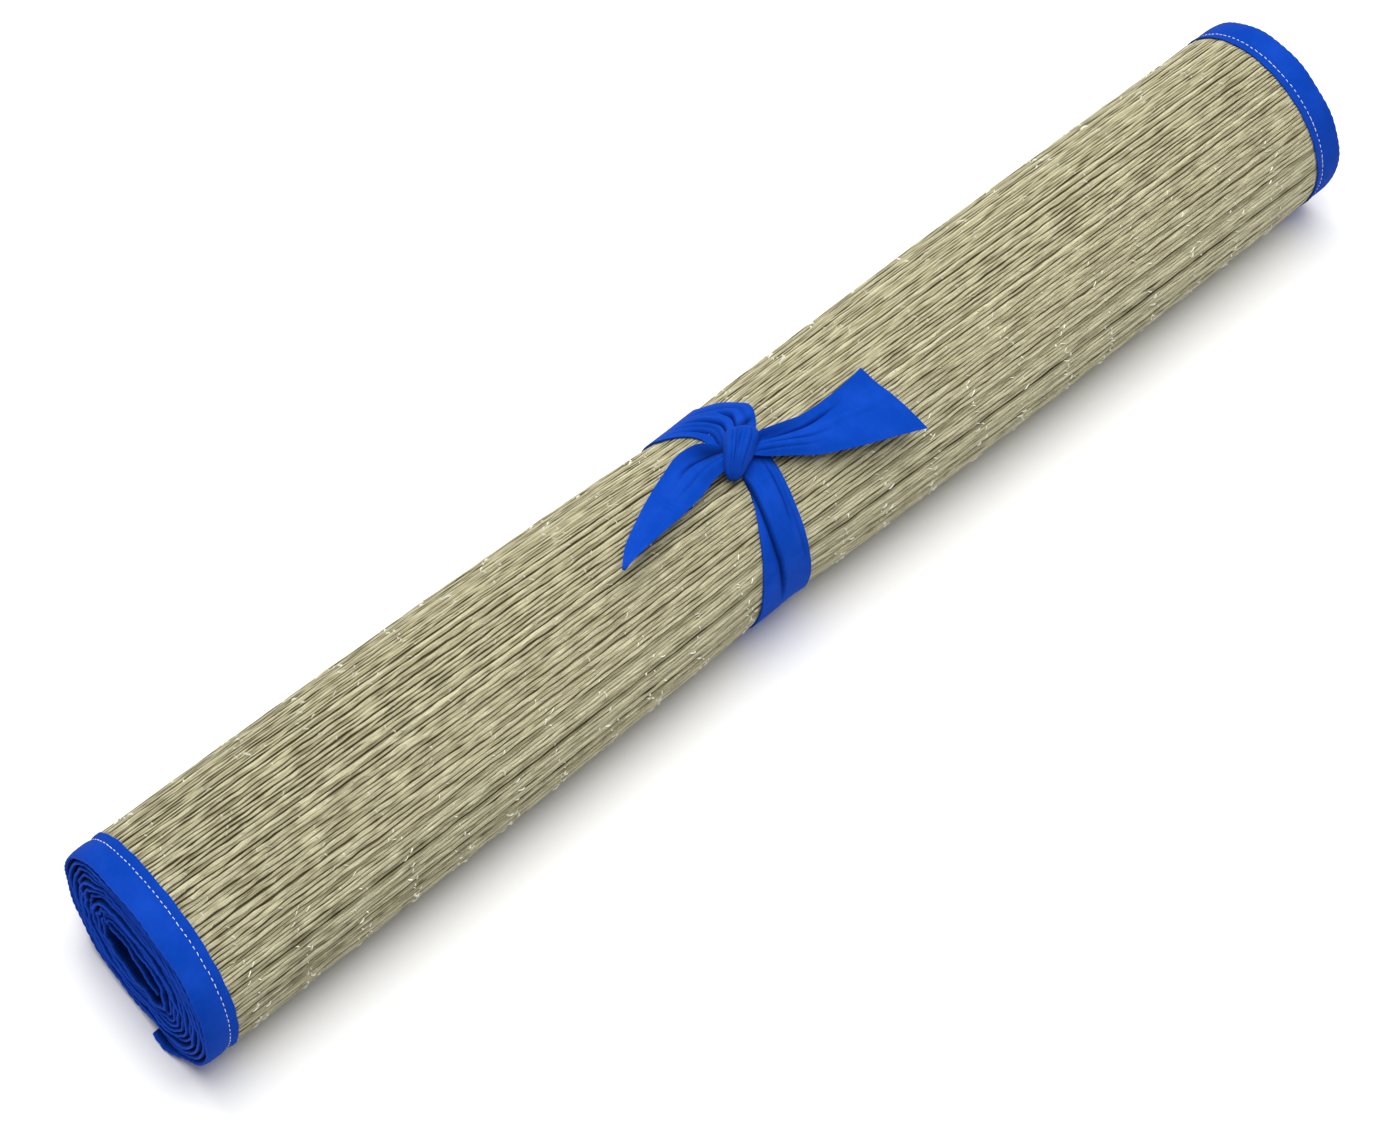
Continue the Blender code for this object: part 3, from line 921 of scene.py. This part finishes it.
# Thickness of the tape on the inner turns, as a share of the outer: over the hollow, and
# how much more beside it
INNER_FULLNESS, SIDE_FULLNESS = 0.52, 0.40
# Where the inner turns are crumpled: section angle in degrees, reach in radians, strength
CRUMPLED = ((28, 0.55, 1.0), (-25, 0.35, 0.35), (205, 0.45, 0.3))
# Sizes of the crumpling in metres: folds where it is tight, slow waves everywhere, and how
# far the turns' rims get ahead of each other within a tight place and from turn to turn
FOLDS, SLOW_WAVES, RIM_FOLDS, RIM_DRIFT = 0.00072, 0.00030, 0.00034, 0.00062
# Unevenness of the outer tape in metres: bulge of the fold over each straw's end, long waves
# of the fold, waver of the cut edge, pucker between stitches, puffs between fold and seam
BULGE, FOLD_WAVES, EDGE_WAVER, PUCKER, PUFFS = 0.00030, 0.00026, 0.00013, 0.00007, 0.00008
BULGE_PITCH = 0.0033
TAPE_TURN = 0.036  # length of tape to a radian of wind, for the pattern along it
TONGUE = 0.0025  # how far the near tape's outer end is pulled out past the mat
SEAM_DISTANCE = 0.0103
SEAM_OFFSET = 0.00048
STITCH_DIP = 0.00026  # how deep a stitch's ends go into the seam


def tape_stations(side):
    """Winds of the tape: one a degree on the outer turn, fewer inside."""
    outer = np.arange(-3 if side > 0 else -0.5, 372, 1.0)
    inner = np.arange(372, math.degrees(MAT_WINDS), 3.2)
    return np.radians(np.concatenate([outer, inner]))


def crumple(wind):
    """Shift of the inner turns along their normal and along the roll: uneven folds.

    They are sines of the section angle with a slow drift in phase, so that they line up
    from turn to turn, strongest where the squashed end bends tightest, and none on the
    outer turn. Along the roll, a slow uneven curve also sets some turns ahead of others.
    """
    angle = LAP_ANGLE - wind
    inside = step_up(wind / TURN, 1.2, 3.2) * (1 - 0.7 * step_up(wind / TURN, 10.2, 10.6))
    tight = np.zeros_like(wind)
    for middle, reach, strength in CRUMPLED:
        away = np.mod(angle - math.radians(middle) + math.pi, TURN) - math.pi
        tight = tight + strength * np.exp(-((away / reach) ** 2))
    drift = 0.45 * wind / TURN
    folds = np.sin(9 * angle + 1.7 * drift) + 0.8 * np.sin(14 * angle - 1.9 * drift + 1.0)
    folds = folds + 0.6 * np.sin(23 * angle + 2.3 * drift) * np.sin(6 * angle - drift)
    slow = np.sin(5 * angle + 0.7 * drift) + 0.7 * np.sin(11 * angle - 0.5 * drift + 2.0)
    deeper = 0.5 + 0.5 * step_up(wind / TURN, 2.0, 8.0)
    ahead = RIM_FOLDS * tight * (np.sin(13 * angle - drift) + np.sin(19 * angle + 1.3 * drift))
    ahead = ahead + RIM_DRIFT * wander(34, wind.T / TURN, (0.93, 1.37, 2.6)).T
    return inside * deeper * (FOLDS * tight * folds + SLOW_WAVES * slow), inside * ahead


def build_binding(name, side, settings, material):
    """A folded tape wound with the mat: its section carried along the mat's spiral.

    The fold bulges over each straw's end, the seam puckers between stitches and the
    cut edge wavers. The tape's outer end is pinched shut. The mesh's tone is above zero for a
    painted highlight on the fold and below zero for painted shade inside the folded tape and
    between the turns.
    """
    winds = tape_stations(side)[:, None]
    reach = TAPE_TURN * winds
    distance, offset = TAPE_PROFILE[:, 0][None, :], TAPE_PROFILE[:, 1][None, :]
    near_fold = 1 - step_up(distance, 0.0008, 0.0060)
    bulge = BULGE * np.abs(np.sin(math.pi * reach / BULGE_PITCH))
    bulge = bulge + FOLD_WAVES * wander(31, reach.T, (0.021, 0.047)).T
    free_edge = step_up(distance, 0.0112, 0.0138)
    waver = EDGE_WAVER * wander(32, reach.T, (0.0082, 0.013, 0.031)).T
    seam = np.exp(-(((distance - SEAM_DISTANCE) / 0.0022) ** 2))
    pucker = PUCKER * np.sin(TURN * reach / settings.stitch_pitch) * seam * (1 - seam) * 4
    body = step_up(distance, 0.0008, 0.0030) * (1 - step_up(distance, 0.0078, 0.0100))
    outer_leg = offset > 0
    puff = PUFFS * wander(33, reach.T, (0.011, 0.019, 0.043)).T * body
    pinch = step_up(winds, -math.radians(3.2), math.radians(1.5))
    inner_share = INNER_FULLNESS + SIDE_FULLNESS * np.cos(LAP_ANGLE - winds) ** 2
    fullness = 1 - (1 - inner_share) * step_up(winds / TURN, 0.99, 1.35)
    shift, ahead = crumple(winds)
    offsets = offset * (0.30 + 0.70 * pinch) * fullness + np.where(outer_leg, pucker + puff, 0)
    offsets = offsets + np.where(outer_leg, waver * free_edge * 0.6, 0) + shift
    distances = distance + waver * free_edge - (bulge + ahead) * near_fold
    if side < 0:
        overhang = 1 - step_up(reach, 0.0030, 0.0170)
        distances = distances - TONGUE * overhang * (1 - 0.5 * step_up(distance, 0.006, 0.0138))
        offsets = offsets * (1 + 0.25 * overhang)
    across = side * (ROLL_LENGTH / 2 - distances)
    points = mat_point(across, winds + 0 * distances, offsets)
    points[..., 2] = np.maximum(points[..., 2], settings.cloth_thickness / 2 + 0.00005)
    chords = np.linalg.norm(np.diff(TAPE_PROFILE, axis=0), axis=1)
    section = np.concatenate([[0], np.cumsum(chords)])
    uv = np.stack(np.broadcast_arrays(section[None, :], reach), axis=-1)
    # Painted highlight on the fold's crest, stronger on the inner turns, and painted shade on the
    # inner turns away from the crest and on the tape's inner leg
    crest = 1 - step_up(distance, 0.0000, 0.0006)
    hidden = step_up(distance, 0.0001, 0.0018) * step_up(winds / TURN, 0.99, 1.02)
    inner_leg = (1 - outer_leg) * step_up(distance, 0.0004, 0.0022)
    painted_highlight = crest * (0.4 + 0.6 * step_up(winds / TURN, 0.9, 1.3))
    tone = painted_highlight - np.maximum(hidden, inner_leg)
    return make_piece(name, cloth_shell(points, settings.cloth_thickness, uv, tone), material)


def build_stitches(name, side, settings, material):
    """Running stitches in the seam of the outer turn: short arcs that dip at both ends."""
    winds, lengths = turn_length(side * (ROLL_LENGTH / 2 - SEAM_DISTANCE))
    starts = np.arange(0.0012, np.interp(TURN + 0.05, winds, lengths), settings.stitch_pitch)
    rng = np.random.default_rng(41 + side)
    count = len(starts)
    long = settings.stitch_length * rng.uniform(0.60, 1.25, (count, 1))
    along = np.linspace(-1, 1, 6)
    reach = starts[:, None] + long / 2 * along
    wind = np.interp(reach, lengths, winds)
    dip = STITCH_DIP * along**4
    radius = settings.stitch_thickness / 2
    lift = SEAM_OFFSET + settings.cloth_thickness / 2 + 0.5 * radius - dip
    slant = rng.normal(0, 0.00006, (count, 1)) * along + rng.normal(0, 0.00005, (count, 1))
    place = side * (ROLL_LENGTH / 2 - SEAM_DISTANCE) + slant
    turn = np.radians(60 * np.arange(6))
    points = mat_point(
        place[..., None] + radius * np.cos(turn),
        np.broadcast_to(wind[..., None], (count, 6, 6)),
        lift[..., None] + radius * np.sin(turn) + 0 * place[..., None],
    )
    uv = np.stack(np.broadcast_arrays(reach[..., None], 0.00018 * np.arange(6)), axis=-1)
    return make_piece(name, tube_shells(points, uv, 0.0), material)


# Tie

# The ring's course: section angle in degrees, middle across, width, height of its crown
RING_COURSE = np.array([
    (95, -0.0010, 0.0130, 0.0026),
    (103, -0.0016, 0.0138, 0.0026),
    (110, -0.0024, 0.0146, 0.0020),
    (120, -0.0044, 0.0162, 0.0013),
    (130, -0.0066, 0.0182, 0.0009),
    (150, -0.0099, 0.0216, 0.0005),
    (172, -0.0121, 0.0246, 0.0003),
    (200, -0.0126, 0.0266, 0.0001),
    (250, -0.0106, 0.0276, 0.0000),
    (300, -0.0066, 0.0286, 0.0000),
    (350, -0.0048, 0.0288, 0.0001),
    (384, -0.0068, 0.0250, 0.0002),
    (403, -0.0054, 0.0224, 0.0003),
    (413, -0.0016, 0.0228, 0.0005),
    (424, 0.0018, 0.0226, 0.0008),
    (431, 0.0034, 0.0238, 0.0011),
    (440, 0.0012, 0.0230, 0.0016),
    (447, -0.0012, 0.0190, 0.0018),
    (455, -0.0020, 0.0130, 0.0020),
])
# Pleats of the ring: first and last section angle, place from edge to edge there, depth
# as a share of the pleat depth, width as a share of the ring's half width
RING_GROOVES = (
    (402, 440, -0.07, -0.24, 1.30, 0.060),
    (420, 441, 0.38, 0.12, 1.60, 0.055),
    (390, 430, 0.50, 0.62, 0.35, 0.120),
    (398, 436, -0.36, -0.46, 0.45, 0.090),
    (405, 446, -0.70, -0.62, 0.75, 0.080),
    (97, 126, 0.30, 0.52, 0.55, 0.090),
    (98, 150, 0.62, 0.78, 0.30, 0.100),
)
RING_OFFSET = 0.00150
# The tuck's line: section angles, and its place from edge to edge there
TUCK_LINE = ((100, 104, 130, 156, 173, 195), (-1.1, -1.0, -0.55, -0.20, -0.11, -0.05))
TUCK_HEIGHT, TUCK_HOLLOW, PUFF_HEIGHT, RING_WAVES = 0.0021, 0.0007, 0.0015, 0.00022
# How much painted shade lies in pleats, on the edge under the puffed fold, and in the tuck's crease
# and hollow
PLEAT_SHADE, PUFF_SHADE, CREASE_SHADE, HOLLOW_SHADE = 0.95, 0.9, 0.8, 0.25


def ring_relief(angles, place, settings):
    """Crown, pleats, puffed fold and long tuck of the ring, as heights over its base.

    The crown is flat-topped. A pleat is a narrow bell curve across the strip with a
    raised bank on its +X side, and fades in along it. The tuck rises in one step on its
    -X side and slopes away on the other. The puffed fold ends in a step at the knot.
    The tone is below zero for painted shade deep in pleats, beside the tuck and under the puffed
    fold.
    """
    crown = smooth_values(angles[:, 0], RING_COURSE)[:, 2:3]
    height = crown * (1 - np.abs(place) ** 2.6)
    tone = 0 * height
    for first, last, start, end, depth, width in RING_GROOVES:
        share = np.clip((angles - first) / (last - first), 0, 1)
        fade = step_up(angles, first - 2, first + 0.55 * (last - first))
        fade = fade * (1 - step_up(angles, last + 4, last + 16))
        away = (place - start - (end - start) * share) / width
        bank = 0.30 * np.exp(-((away - 2.2) ** 2) / 3)
        height = height - settings.pleat_depth * depth * fade * (np.exp(-(away**2)) - bank)
        tone = tone - PLEAT_SHADE * min(1.0, depth) * fade * np.exp(-((away / 0.8) ** 2))
    puff = np.exp(-(((place - 0.66) / 0.30) ** 2)) * step_up(angles, 412, 431)
    height = height + PUFF_HEIGHT * puff * (1 - step_up(angles, 437.0, 440.5))
    under = np.exp(-(((angles - 439.8) / 1.3) ** 2) - ((place - 0.55) / 0.33) ** 4)
    line = np.interp(angles, *TUCK_LINE)
    high = step_up(angles, 96, 108) * (1 - step_up(angles, 160, 196))
    tuck = step_up(place, line - 0.02, line + 0.035) * np.exp(-np.maximum(0, place - line) / 0.8)
    hollow = np.exp(-(((place - line + 0.09) / 0.08) ** 2))
    height = height + high * (TUCK_HEIGHT * tuck - TUCK_HOLLOW * hollow)
    crease = np.exp(-(((place - line + 0.03) / 0.05) ** 2)) * (place < line + 0.02)
    tone = tone - PUFF_SHADE * under - high * (CREASE_SHADE * crease + HOLLOW_SHADE * hollow)
    slow = RING_WAVES * np.sin(3.1 * place + 0.06 * angles) * np.sin(0.11 * angles + 1.0)
    return height + slow * step_up(angles, 120, 140) * (1 - step_up(angles, 205, 235)), tone


def ring_shell(settings):
    """The strip round the waist: its relief carried on the roll's outermost layer."""
    angles = np.concatenate([np.arange(95, 215, 1.6), np.arange(215, 385, 4.0),
                             np.arange(385, 455.1, 1.25)])[:, None]
    read = smooth_values(angles[:, 0], RING_COURSE)
    place = np.linspace(-1, 1, 79)[None, :]
    relief, tone = ring_relief(angles, place, settings)
    across = read[:, :1] + read[:, 1:2] / 2 * place
    points = envelope_point(across, np.radians(angles) + 0 * across, RING_OFFSET + relief)
    uv = np.stack(np.broadcast_arrays(0.014 * place, 0.00072 * angles), axis=-1)
    return cloth_shell(points, settings.cloth_thickness, uv, tone)


# The knot: place along it, sideways middle, half width, height of its middle, half height
KNOT_MIDDLE = np.array([-0.0037, -0.0026, 0.0])
KNOT_TURN = math.radians(42)
KNOT_SHADE = 4  # darkness of a crease for its depth
KNOT_COURSE = np.array([
    (-0.0116, -0.0022, 0.0008, 0.0730, 0.0008),
    (-0.0110, -0.0022, 0.0022, 0.0736, 0.0020),
    (-0.0094, -0.0020, 0.0036, 0.0748, 0.0034),
    (-0.0068, -0.0014, 0.0046, 0.0762, 0.0050),
    (-0.0034, -0.0006, 0.0056, 0.0772, 0.0060),
    (0.0000, 0.0000, 0.0064, 0.0776, 0.0063),
    (0.0035, 0.0007, 0.0069, 0.0776, 0.0062),
    (0.0068, 0.0011, 0.0064, 0.0770, 0.0054),
    (0.0092, 0.0020, 0.0046, 0.0760, 0.0040),
    (0.0106, 0.0022, 0.0026, 0.0750, 0.0024),
    (0.0112, 0.0022, 0.0008, 0.0744, 0.0008),
])
# Creases of the knot: place across at its low end and high end, depth, width
KNOT_CREASES = (
    (-0.42, -0.52, 0.085, 0.060),
    (-0.16, -0.26, 0.110, 0.055),
    (0.06, -0.02, 0.095, 0.050),
    (0.34, 0.26, 0.050, 0.070),
    (0.78, 0.58, 0.090, 0.075),
)


def knot_shell():
    """The wrapped knot: a flattened round section along its long axis, creased lengthwise."""
    along = -0.0116 + 0.0228 * (1 - np.cos(np.linspace(0, math.pi, 57))) / 2
    read = smooth_values(along, KNOT_COURSE)
    around = np.linspace(0, TURN, 128, endpoint=False)[None, :]
    side = np.cos(around)
    top = np.sin(around)
    wide = np.sign(side) * np.abs(side) ** 0.85
    high = np.sign(top) * np.abs(top) ** 0.85
    share = (along[:, None] - along[0]) / (along[-1] - along[0])
    scale = np.ones_like(share * side)
    # Painted shade: the knot's lower half is darker, and each crease darker by its depth
    tone = -0.25 * (1 - step_up(high, -0.5, 0.5)) + 0 * scale
    for low, up, depth, width in KNOT_CREASES:
        line = low + (up - low) * share
        cut = np.exp(-(((wide - line) / width) ** 2)) * step_up(high, 0.0, 0.4)
        past = step_up(share, 0.55, 0.95)
        tone = tone - KNOT_SHADE * depth * cut * (1 - 0.6 * past)
        scale = scale - depth * cut * step_up(share, 0.02, 0.2) * (1 - 0.75 * past)
    scale = scale + 0.018 * np.sin(5 * around + 7 * share)
    sideways = read[:, 0:1] + read[:, 1:2] * wide * scale
    z = read[:, 2:3] + read[:, 3:4] * high * scale
    x = along[:, None] * math.sin(KNOT_TURN) + sideways * math.cos(KNOT_TURN)
    y = along[:, None] * math.cos(KNOT_TURN) - sideways * math.sin(KNOT_TURN)
    points = np.stack([x, y, z], axis=-1) + KNOT_MIDDLE + CENTRING
    uv = np.stack(np.broadcast_arrays(0.022 * around / TURN * 2, along[:, None]), axis=-1)
    return tube_shells(points[None], uv[None], tone[None])


# Tails: middle line x, y, z, half width, then heights at five places from the -Y edge
# to the +Y edge, in millimetres
LEFT_TAIL = np.array([
    (-0.0040, -0.0016, 0.0762, 0.0040, 0.0, 0.9, 0.0, -1.0, -1.6),
    (-0.0095, 0.0006, 0.0762, 0.0058, -1.0, 1.6, -0.2, -2.4, -1.6),
    (-0.0150, 0.0022, 0.0759, 0.0074, -1.6, 1.5, -0.2, -2.4, 1.6),
    (-0.0210, 0.0030, 0.0753, 0.0084, -1.8, 1.0, 0.0, -1.2, 1.6),
    (-0.0300, 0.0010, 0.0749, 0.0086, -1.6, 0.6, 0.6, -0.6, 0.0),
    (-0.0410, -0.0020, 0.0752, 0.0076, -1.2, 0.3, 0.8, -0.2, -0.9),
    (-0.0530, -0.0058, 0.0762, 0.0056, -0.8, 0.2, 0.7, 0.0, -0.9),
    (-0.0660, -0.0108, 0.0778, 0.0030, -0.3, 0.0, 0.3, 0.0, -0.4),
    (-0.0745, -0.0155, 0.0790, 0.0004, 0.0, 0.0, 0.0, 0.0, 0.0),
])
RIGHT_TAIL = np.array([
    (-0.0010, -0.0035, 0.0765, 0.0036, 0.0, 0.5, 0.4, -0.2, 0.8),
    (0.0060, -0.0068, 0.0764, 0.0052, -1.6, 1.4, 1.0, -1.2, 1.8),
    (0.0140, -0.0105, 0.0757, 0.0066, -2.2, 0.9, 1.0, -0.9, 2.2),
    (0.0230, -0.0148, 0.0749, 0.0086, -2.6, 0.2, 0.8, 0.0, 2.0),
    (0.0320, -0.0177, 0.0748, 0.0104, -3.0, -0.6, 0.2, 0.8, 2.4),
    (0.0420, -0.0203, 0.0749, 0.0122, -3.8, -1.2, -0.2, 1.4, 3.4),
    (0.0510, -0.0222, 0.0752, 0.0140, -5.0, -1.8, 0.2, 1.8, 4.2),
    (0.0582, -0.0236, 0.0757, 0.0155, -6.6, -2.4, 0.5, 2.0, 5.0),
])
RIGHT_TAIL_LEAD = 0.0114  # how far the cut end's -Y corner is ahead of its +Y corner
TAIL_SHADE = 450  # darkness of a crease for its depth in metres
# Creases of the tails: reach where each starts and ends, place there, depth, width
LEFT_CREASES = (
    (0.000, 0.030, 0.22, 0.36, 0.0014, 0.10),
    (0.002, 0.040, -0.42, -0.30, 0.0006, 0.09),
    (0.020, 0.060, 0.10, 0.00, -0.0004, 0.12),
)
RIGHT_CREASES = (
    (0.000, 0.048, 0.34, 0.66, 0.0017, 0.070),
    (0.004, 0.040, -0.22, -0.05, 0.0008, 0.085),
    (0.002, 0.034, -0.66, -0.48, 0.0006, 0.080),
    (0.026, 0.070, 0.20, 0.06, -0.0005, 0.110),
)
# Painted shade in the tails' hollows: reach and place of the middle, length, width, strength
LEFT_SHADES = ((0.0080, 0.40, 0.0066, 0.46, 1.05),)
RIGHT_SHADES = ((0.0060, 0.72, 0.0200, 0.22, 0.35),)


def tail_shell(rows, lead, creases, shades, settings):
    """A loose tail: a strip along its middle line, its heights carried across and along.

    A crease is a narrow bell curve across the strip that fades out towards its end, with
    painted shade by its depth. A shade is a bell-shaped patch of painted shade.
    """
    chords = np.linalg.norm(np.diff(rows[:, :3], axis=0), axis=1)
    reached = np.concatenate([[0], np.cumsum(chords)])
    steps = np.linspace(0, reached[-1], 90)
    read = smooth_values(steps, np.column_stack([reached, rows]))
    run = np.gradient(read[:, :2], axis=0)
    run /= np.linalg.norm(run, axis=1)[:, None]
    sideways = np.stack([-run[:, 1], run[:, 0]], axis=1)
    sideways *= np.where(sideways[:, 1:] < 0, -1, 1)
    place = np.linspace(-1, 1, 57)
    knots = np.column_stack([np.linspace(-1, 1, 5), read[:, 4:9].T])
    heights = smooth_values(place, knots).T / 1000
    ahead = -lead * place[None, :] / 2 * (steps[:, None] / reached[-1]) ** 2
    x = read[:, 0:1] + read[:, 3:4] * sideways[:, :1] * place + run[:, :1] * ahead
    y = read[:, 1:2] + read[:, 3:4] * sideways[:, 1:] * place + run[:, 1:] * ahead
    tone = 0 * x
    wrinkle = 0.00012 * np.sin(90 * steps[:, None] + 4 * place) * np.sin(6.5 * place + 1)
    for start, end, low, high, depth, width in creases:
        share = np.clip((steps[:, None] - start) / (end - start), 0, 1)
        fade = step_up(steps[:, None], start - 0.001, start + 0.004)
        fade = (1 - step_up(share, 0.55, 1.0)) * fade
        cut = fade * np.exp(-(((place - low - (high - low) * share) / width) ** 2))
        heights = heights - depth * cut
        tone = tone - TAIL_SHADE * max(depth, 0) * cut
    for reach, middle, long, wide, strength in shades:
        tone = tone - strength * np.exp(
            -(((steps[:, None] - reach) / long) ** 2) - ((place - middle) / wide) ** 2
        )
    z = read[:, 2:3] + heights + wrinkle
    points = np.stack([x, y, z], axis=-1) + CENTRING
    uv = np.stack(np.broadcast_arrays(read[:, 3:4] * place, steps[:, None]), axis=-1)
    return cloth_shell(points, settings.cloth_thickness, uv, tone)


def build_tie(settings, material):
    """Ring, knot and both tails of the one strip of cloth."""
    shells = [
        ring_shell(settings),
        knot_shell(),
        tail_shell(LEFT_TAIL, 0.0, LEFT_CREASES, LEFT_SHADES, settings),
        tail_shell(RIGHT_TAIL, RIGHT_TAIL_LEAD, RIGHT_CREASES, RIGHT_SHADES, settings),
    ]
    return make_piece("tie_cloth", put_together([facing_out(shell) for shell in shells]), material)


# Stage

CAMERA_PLACE = (-0.6408, -0.6793, 1.3579)
CAMERA_AZIMUTH = math.radians(42.2)
CAMERA_ELEVATION = math.radians(55.64)
CAMERA_LENS = 107.6


# Soft lights: name, place, diameter, the setting that holds the power, colour
LIGHTS = (
    ("key light", (0.1, 0.95, 1.75), 0.7, "key_power", (1.0, 0.99, 0.97)),
    ("top light", (0.2, -0.1, 2.2), 2.4, "top_power", (1.0, 1.0, 1.0)),
)


def area_light(name, place, size, power, colour, target):
    """A round soft light whose -Z axis points at the target."""
    lamp = bpy.data.lights.new(name, "AREA")
    lamp.shape = "DISK"
    lamp.size = size
    lamp.energy = power
    lamp.color = colour
    item = bpy.data.objects.new(name, lamp)
    item.location = place
    item.rotation_euler = (target - item.location).to_track_quat("-Z", "Y").to_euler()
    bpy.context.scene.collection.objects.link(item)


class STRAWMAT_OT_straw_sheet(bpy.types.Operator):
    """Build the wound sheet and the straws of its outer turn"""

    bl_idname = "strawmat.straw_sheet"
    bl_label = "Straw sheet"

    def execute(self, context):
        settings = context.scene.strawmat_straws
        material = straw_material(settings, straw_fibre_group())
        sheet = build_sheet(material)
        straws = build_straws(settings, material)
        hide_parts("straw_mat")
        return {"FINISHED"}


class STRAWMAT_OT_holding_threads(bpy.types.Operator):
    """Build the threads that hold the straws"""

    bl_idname = "strawmat.holding_threads"
    bl_label = "Holding threads"

    def execute(self, context):
        settings = context.scene.strawmat_straws
        material = thread_material("holding thread", settings.thread_colour)
        threads = build_threads(settings, material)
        return {"FINISHED"}


class STRAWMAT_OT_bindings(bpy.types.Operator):
    """Build both binding tapes and their stitches"""

    bl_idname = "strawmat.bindings"
    bl_label = "Bindings"

    def execute(self, context):
        settings = context.scene.strawmat_bindings
        cloth = cloth_material("binding cloth", settings.colour, 0.0005)
        thread = thread_material("stitching thread", settings.thread_colour)
        for end, side in (("near", -1), ("far", 1)):
            tape = build_binding(end + "_binding_tape", side, settings, cloth)
            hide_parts(end + "_binding")
            stitches = build_stitches(end + "_stitches", side, settings, thread)
        return {"FINISHED"}


class STRAWMAT_OT_tie(bpy.types.Operator):
    """Build the tie round the waist"""

    bl_idname = "strawmat.tie"
    bl_label = "Tie"

    def execute(self, context):
        settings = context.scene.strawmat_tie
        cloth = cloth_material("tie cloth", settings.colour, 0.0004)
        tie = build_tie(settings, cloth)
        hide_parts("tie")
        return {"FINISHED"}


class STRAWMAT_OT_stage(bpy.types.Operator):
    """Build the floor, the lights and the camera"""

    bl_idname = "strawmat.stage"
    bl_label = "Stage"

    def execute(self, context):
        settings = context.scene.strawmat_stage
        bpy.ops.mesh.primitive_plane_add(size=12.0)
        floor = context.object
        floor.name = "floor"
        floor.data.materials.append(floor_material(settings.floor_colour))
        lowest, highest = CAD_BOX
        target = (lowest + highest) / 2
        for name, place, size, power, colour in LIGHTS:
            area_light(name, place, size, getattr(settings, power), colour, target)
        world = bpy.data.worlds.new("studio")
        world.use_nodes = True
        backdrop = world.node_tree.nodes["Background"]
        backdrop.inputs["Color"].default_value = (1.0, 1.0, 1.0, 1.0)
        backdrop.inputs["Strength"].default_value = settings.sky
        context.scene.world = world
        context.scene.view_settings.view_transform = "Standard"
        camera = bpy.data.objects.new("camera", bpy.data.cameras.new("camera"))
        context.scene.collection.objects.link(camera)
        camera.location = CAMERA_PLACE
        camera.rotation_euler = (math.pi / 2 - CAMERA_ELEVATION, 0, -CAMERA_AZIMUTH)
        camera.data.lens = CAMERA_LENS
        camera.data.sensor_width = 36.0
        camera.data.clip_start, camera.data.clip_end = 0.05, 50.0
        context.scene.camera = camera
        return {"FINISHED"}


class STRAWMAT_PT_panel(bpy.types.Panel):
    """Lists the pieces of the mat and their settings"""

    bl_label = "Straw mat"
    bl_idname = "STRAWMAT_PT_panel"
    bl_space_type = "VIEW_3D"
    bl_region_type = "UI"
    bl_category = "Straw mat"

    def draw(self, context):
        for operator, settings in BUILD_ORDER:
            box = self.layout.box()
            box.operator(operator)
            group = getattr(context.scene, settings)
            for name in group.bl_rna.properties.keys():
                if name not in ("rna_type", "name"):
                    box.prop(group, name)


SETTINGS = {
    "strawmat_straws": StrawSettings,
    "strawmat_bindings": BindingSettings,
    "strawmat_tie": TieSettings,
    "strawmat_stage": StageSettings,
}
BUILD_ORDER = (
    ("strawmat.stage", "strawmat_stage"),
    ("strawmat.straw_sheet", "strawmat_straws"),
    ("strawmat.holding_threads", "strawmat_straws"),
    ("strawmat.bindings", "strawmat_bindings"),
    ("strawmat.tie", "strawmat_tie"),
)
CLASSES = (
    *SETTINGS.values(),
    STRAWMAT_OT_straw_sheet,
    STRAWMAT_OT_holding_threads,
    STRAWMAT_OT_bindings,
    STRAWMAT_OT_tie,
    STRAWMAT_OT_stage,
    STRAWMAT_PT_panel,
)


def register():
    for each in CLASSES:
        bpy.utils.register_class(each)
    for name, group in SETTINGS.items():
        setattr(bpy.types.Scene, name, PointerProperty(type=group))


def unregister():
    for name in SETTINGS:
        delattr(bpy.types.Scene, name)
    for each in reversed(CLASSES):
        bpy.utils.unregister_class(each)


def main():
    register()
    bpy.ops.strawmat.stage()
    bpy.ops.strawmat.straw_sheet()
    bpy.ops.strawmat.holding_threads()
    bpy.ops.strawmat.bindings()
    bpy.ops.strawmat.tie()


if __name__ == "__main__":
    main()
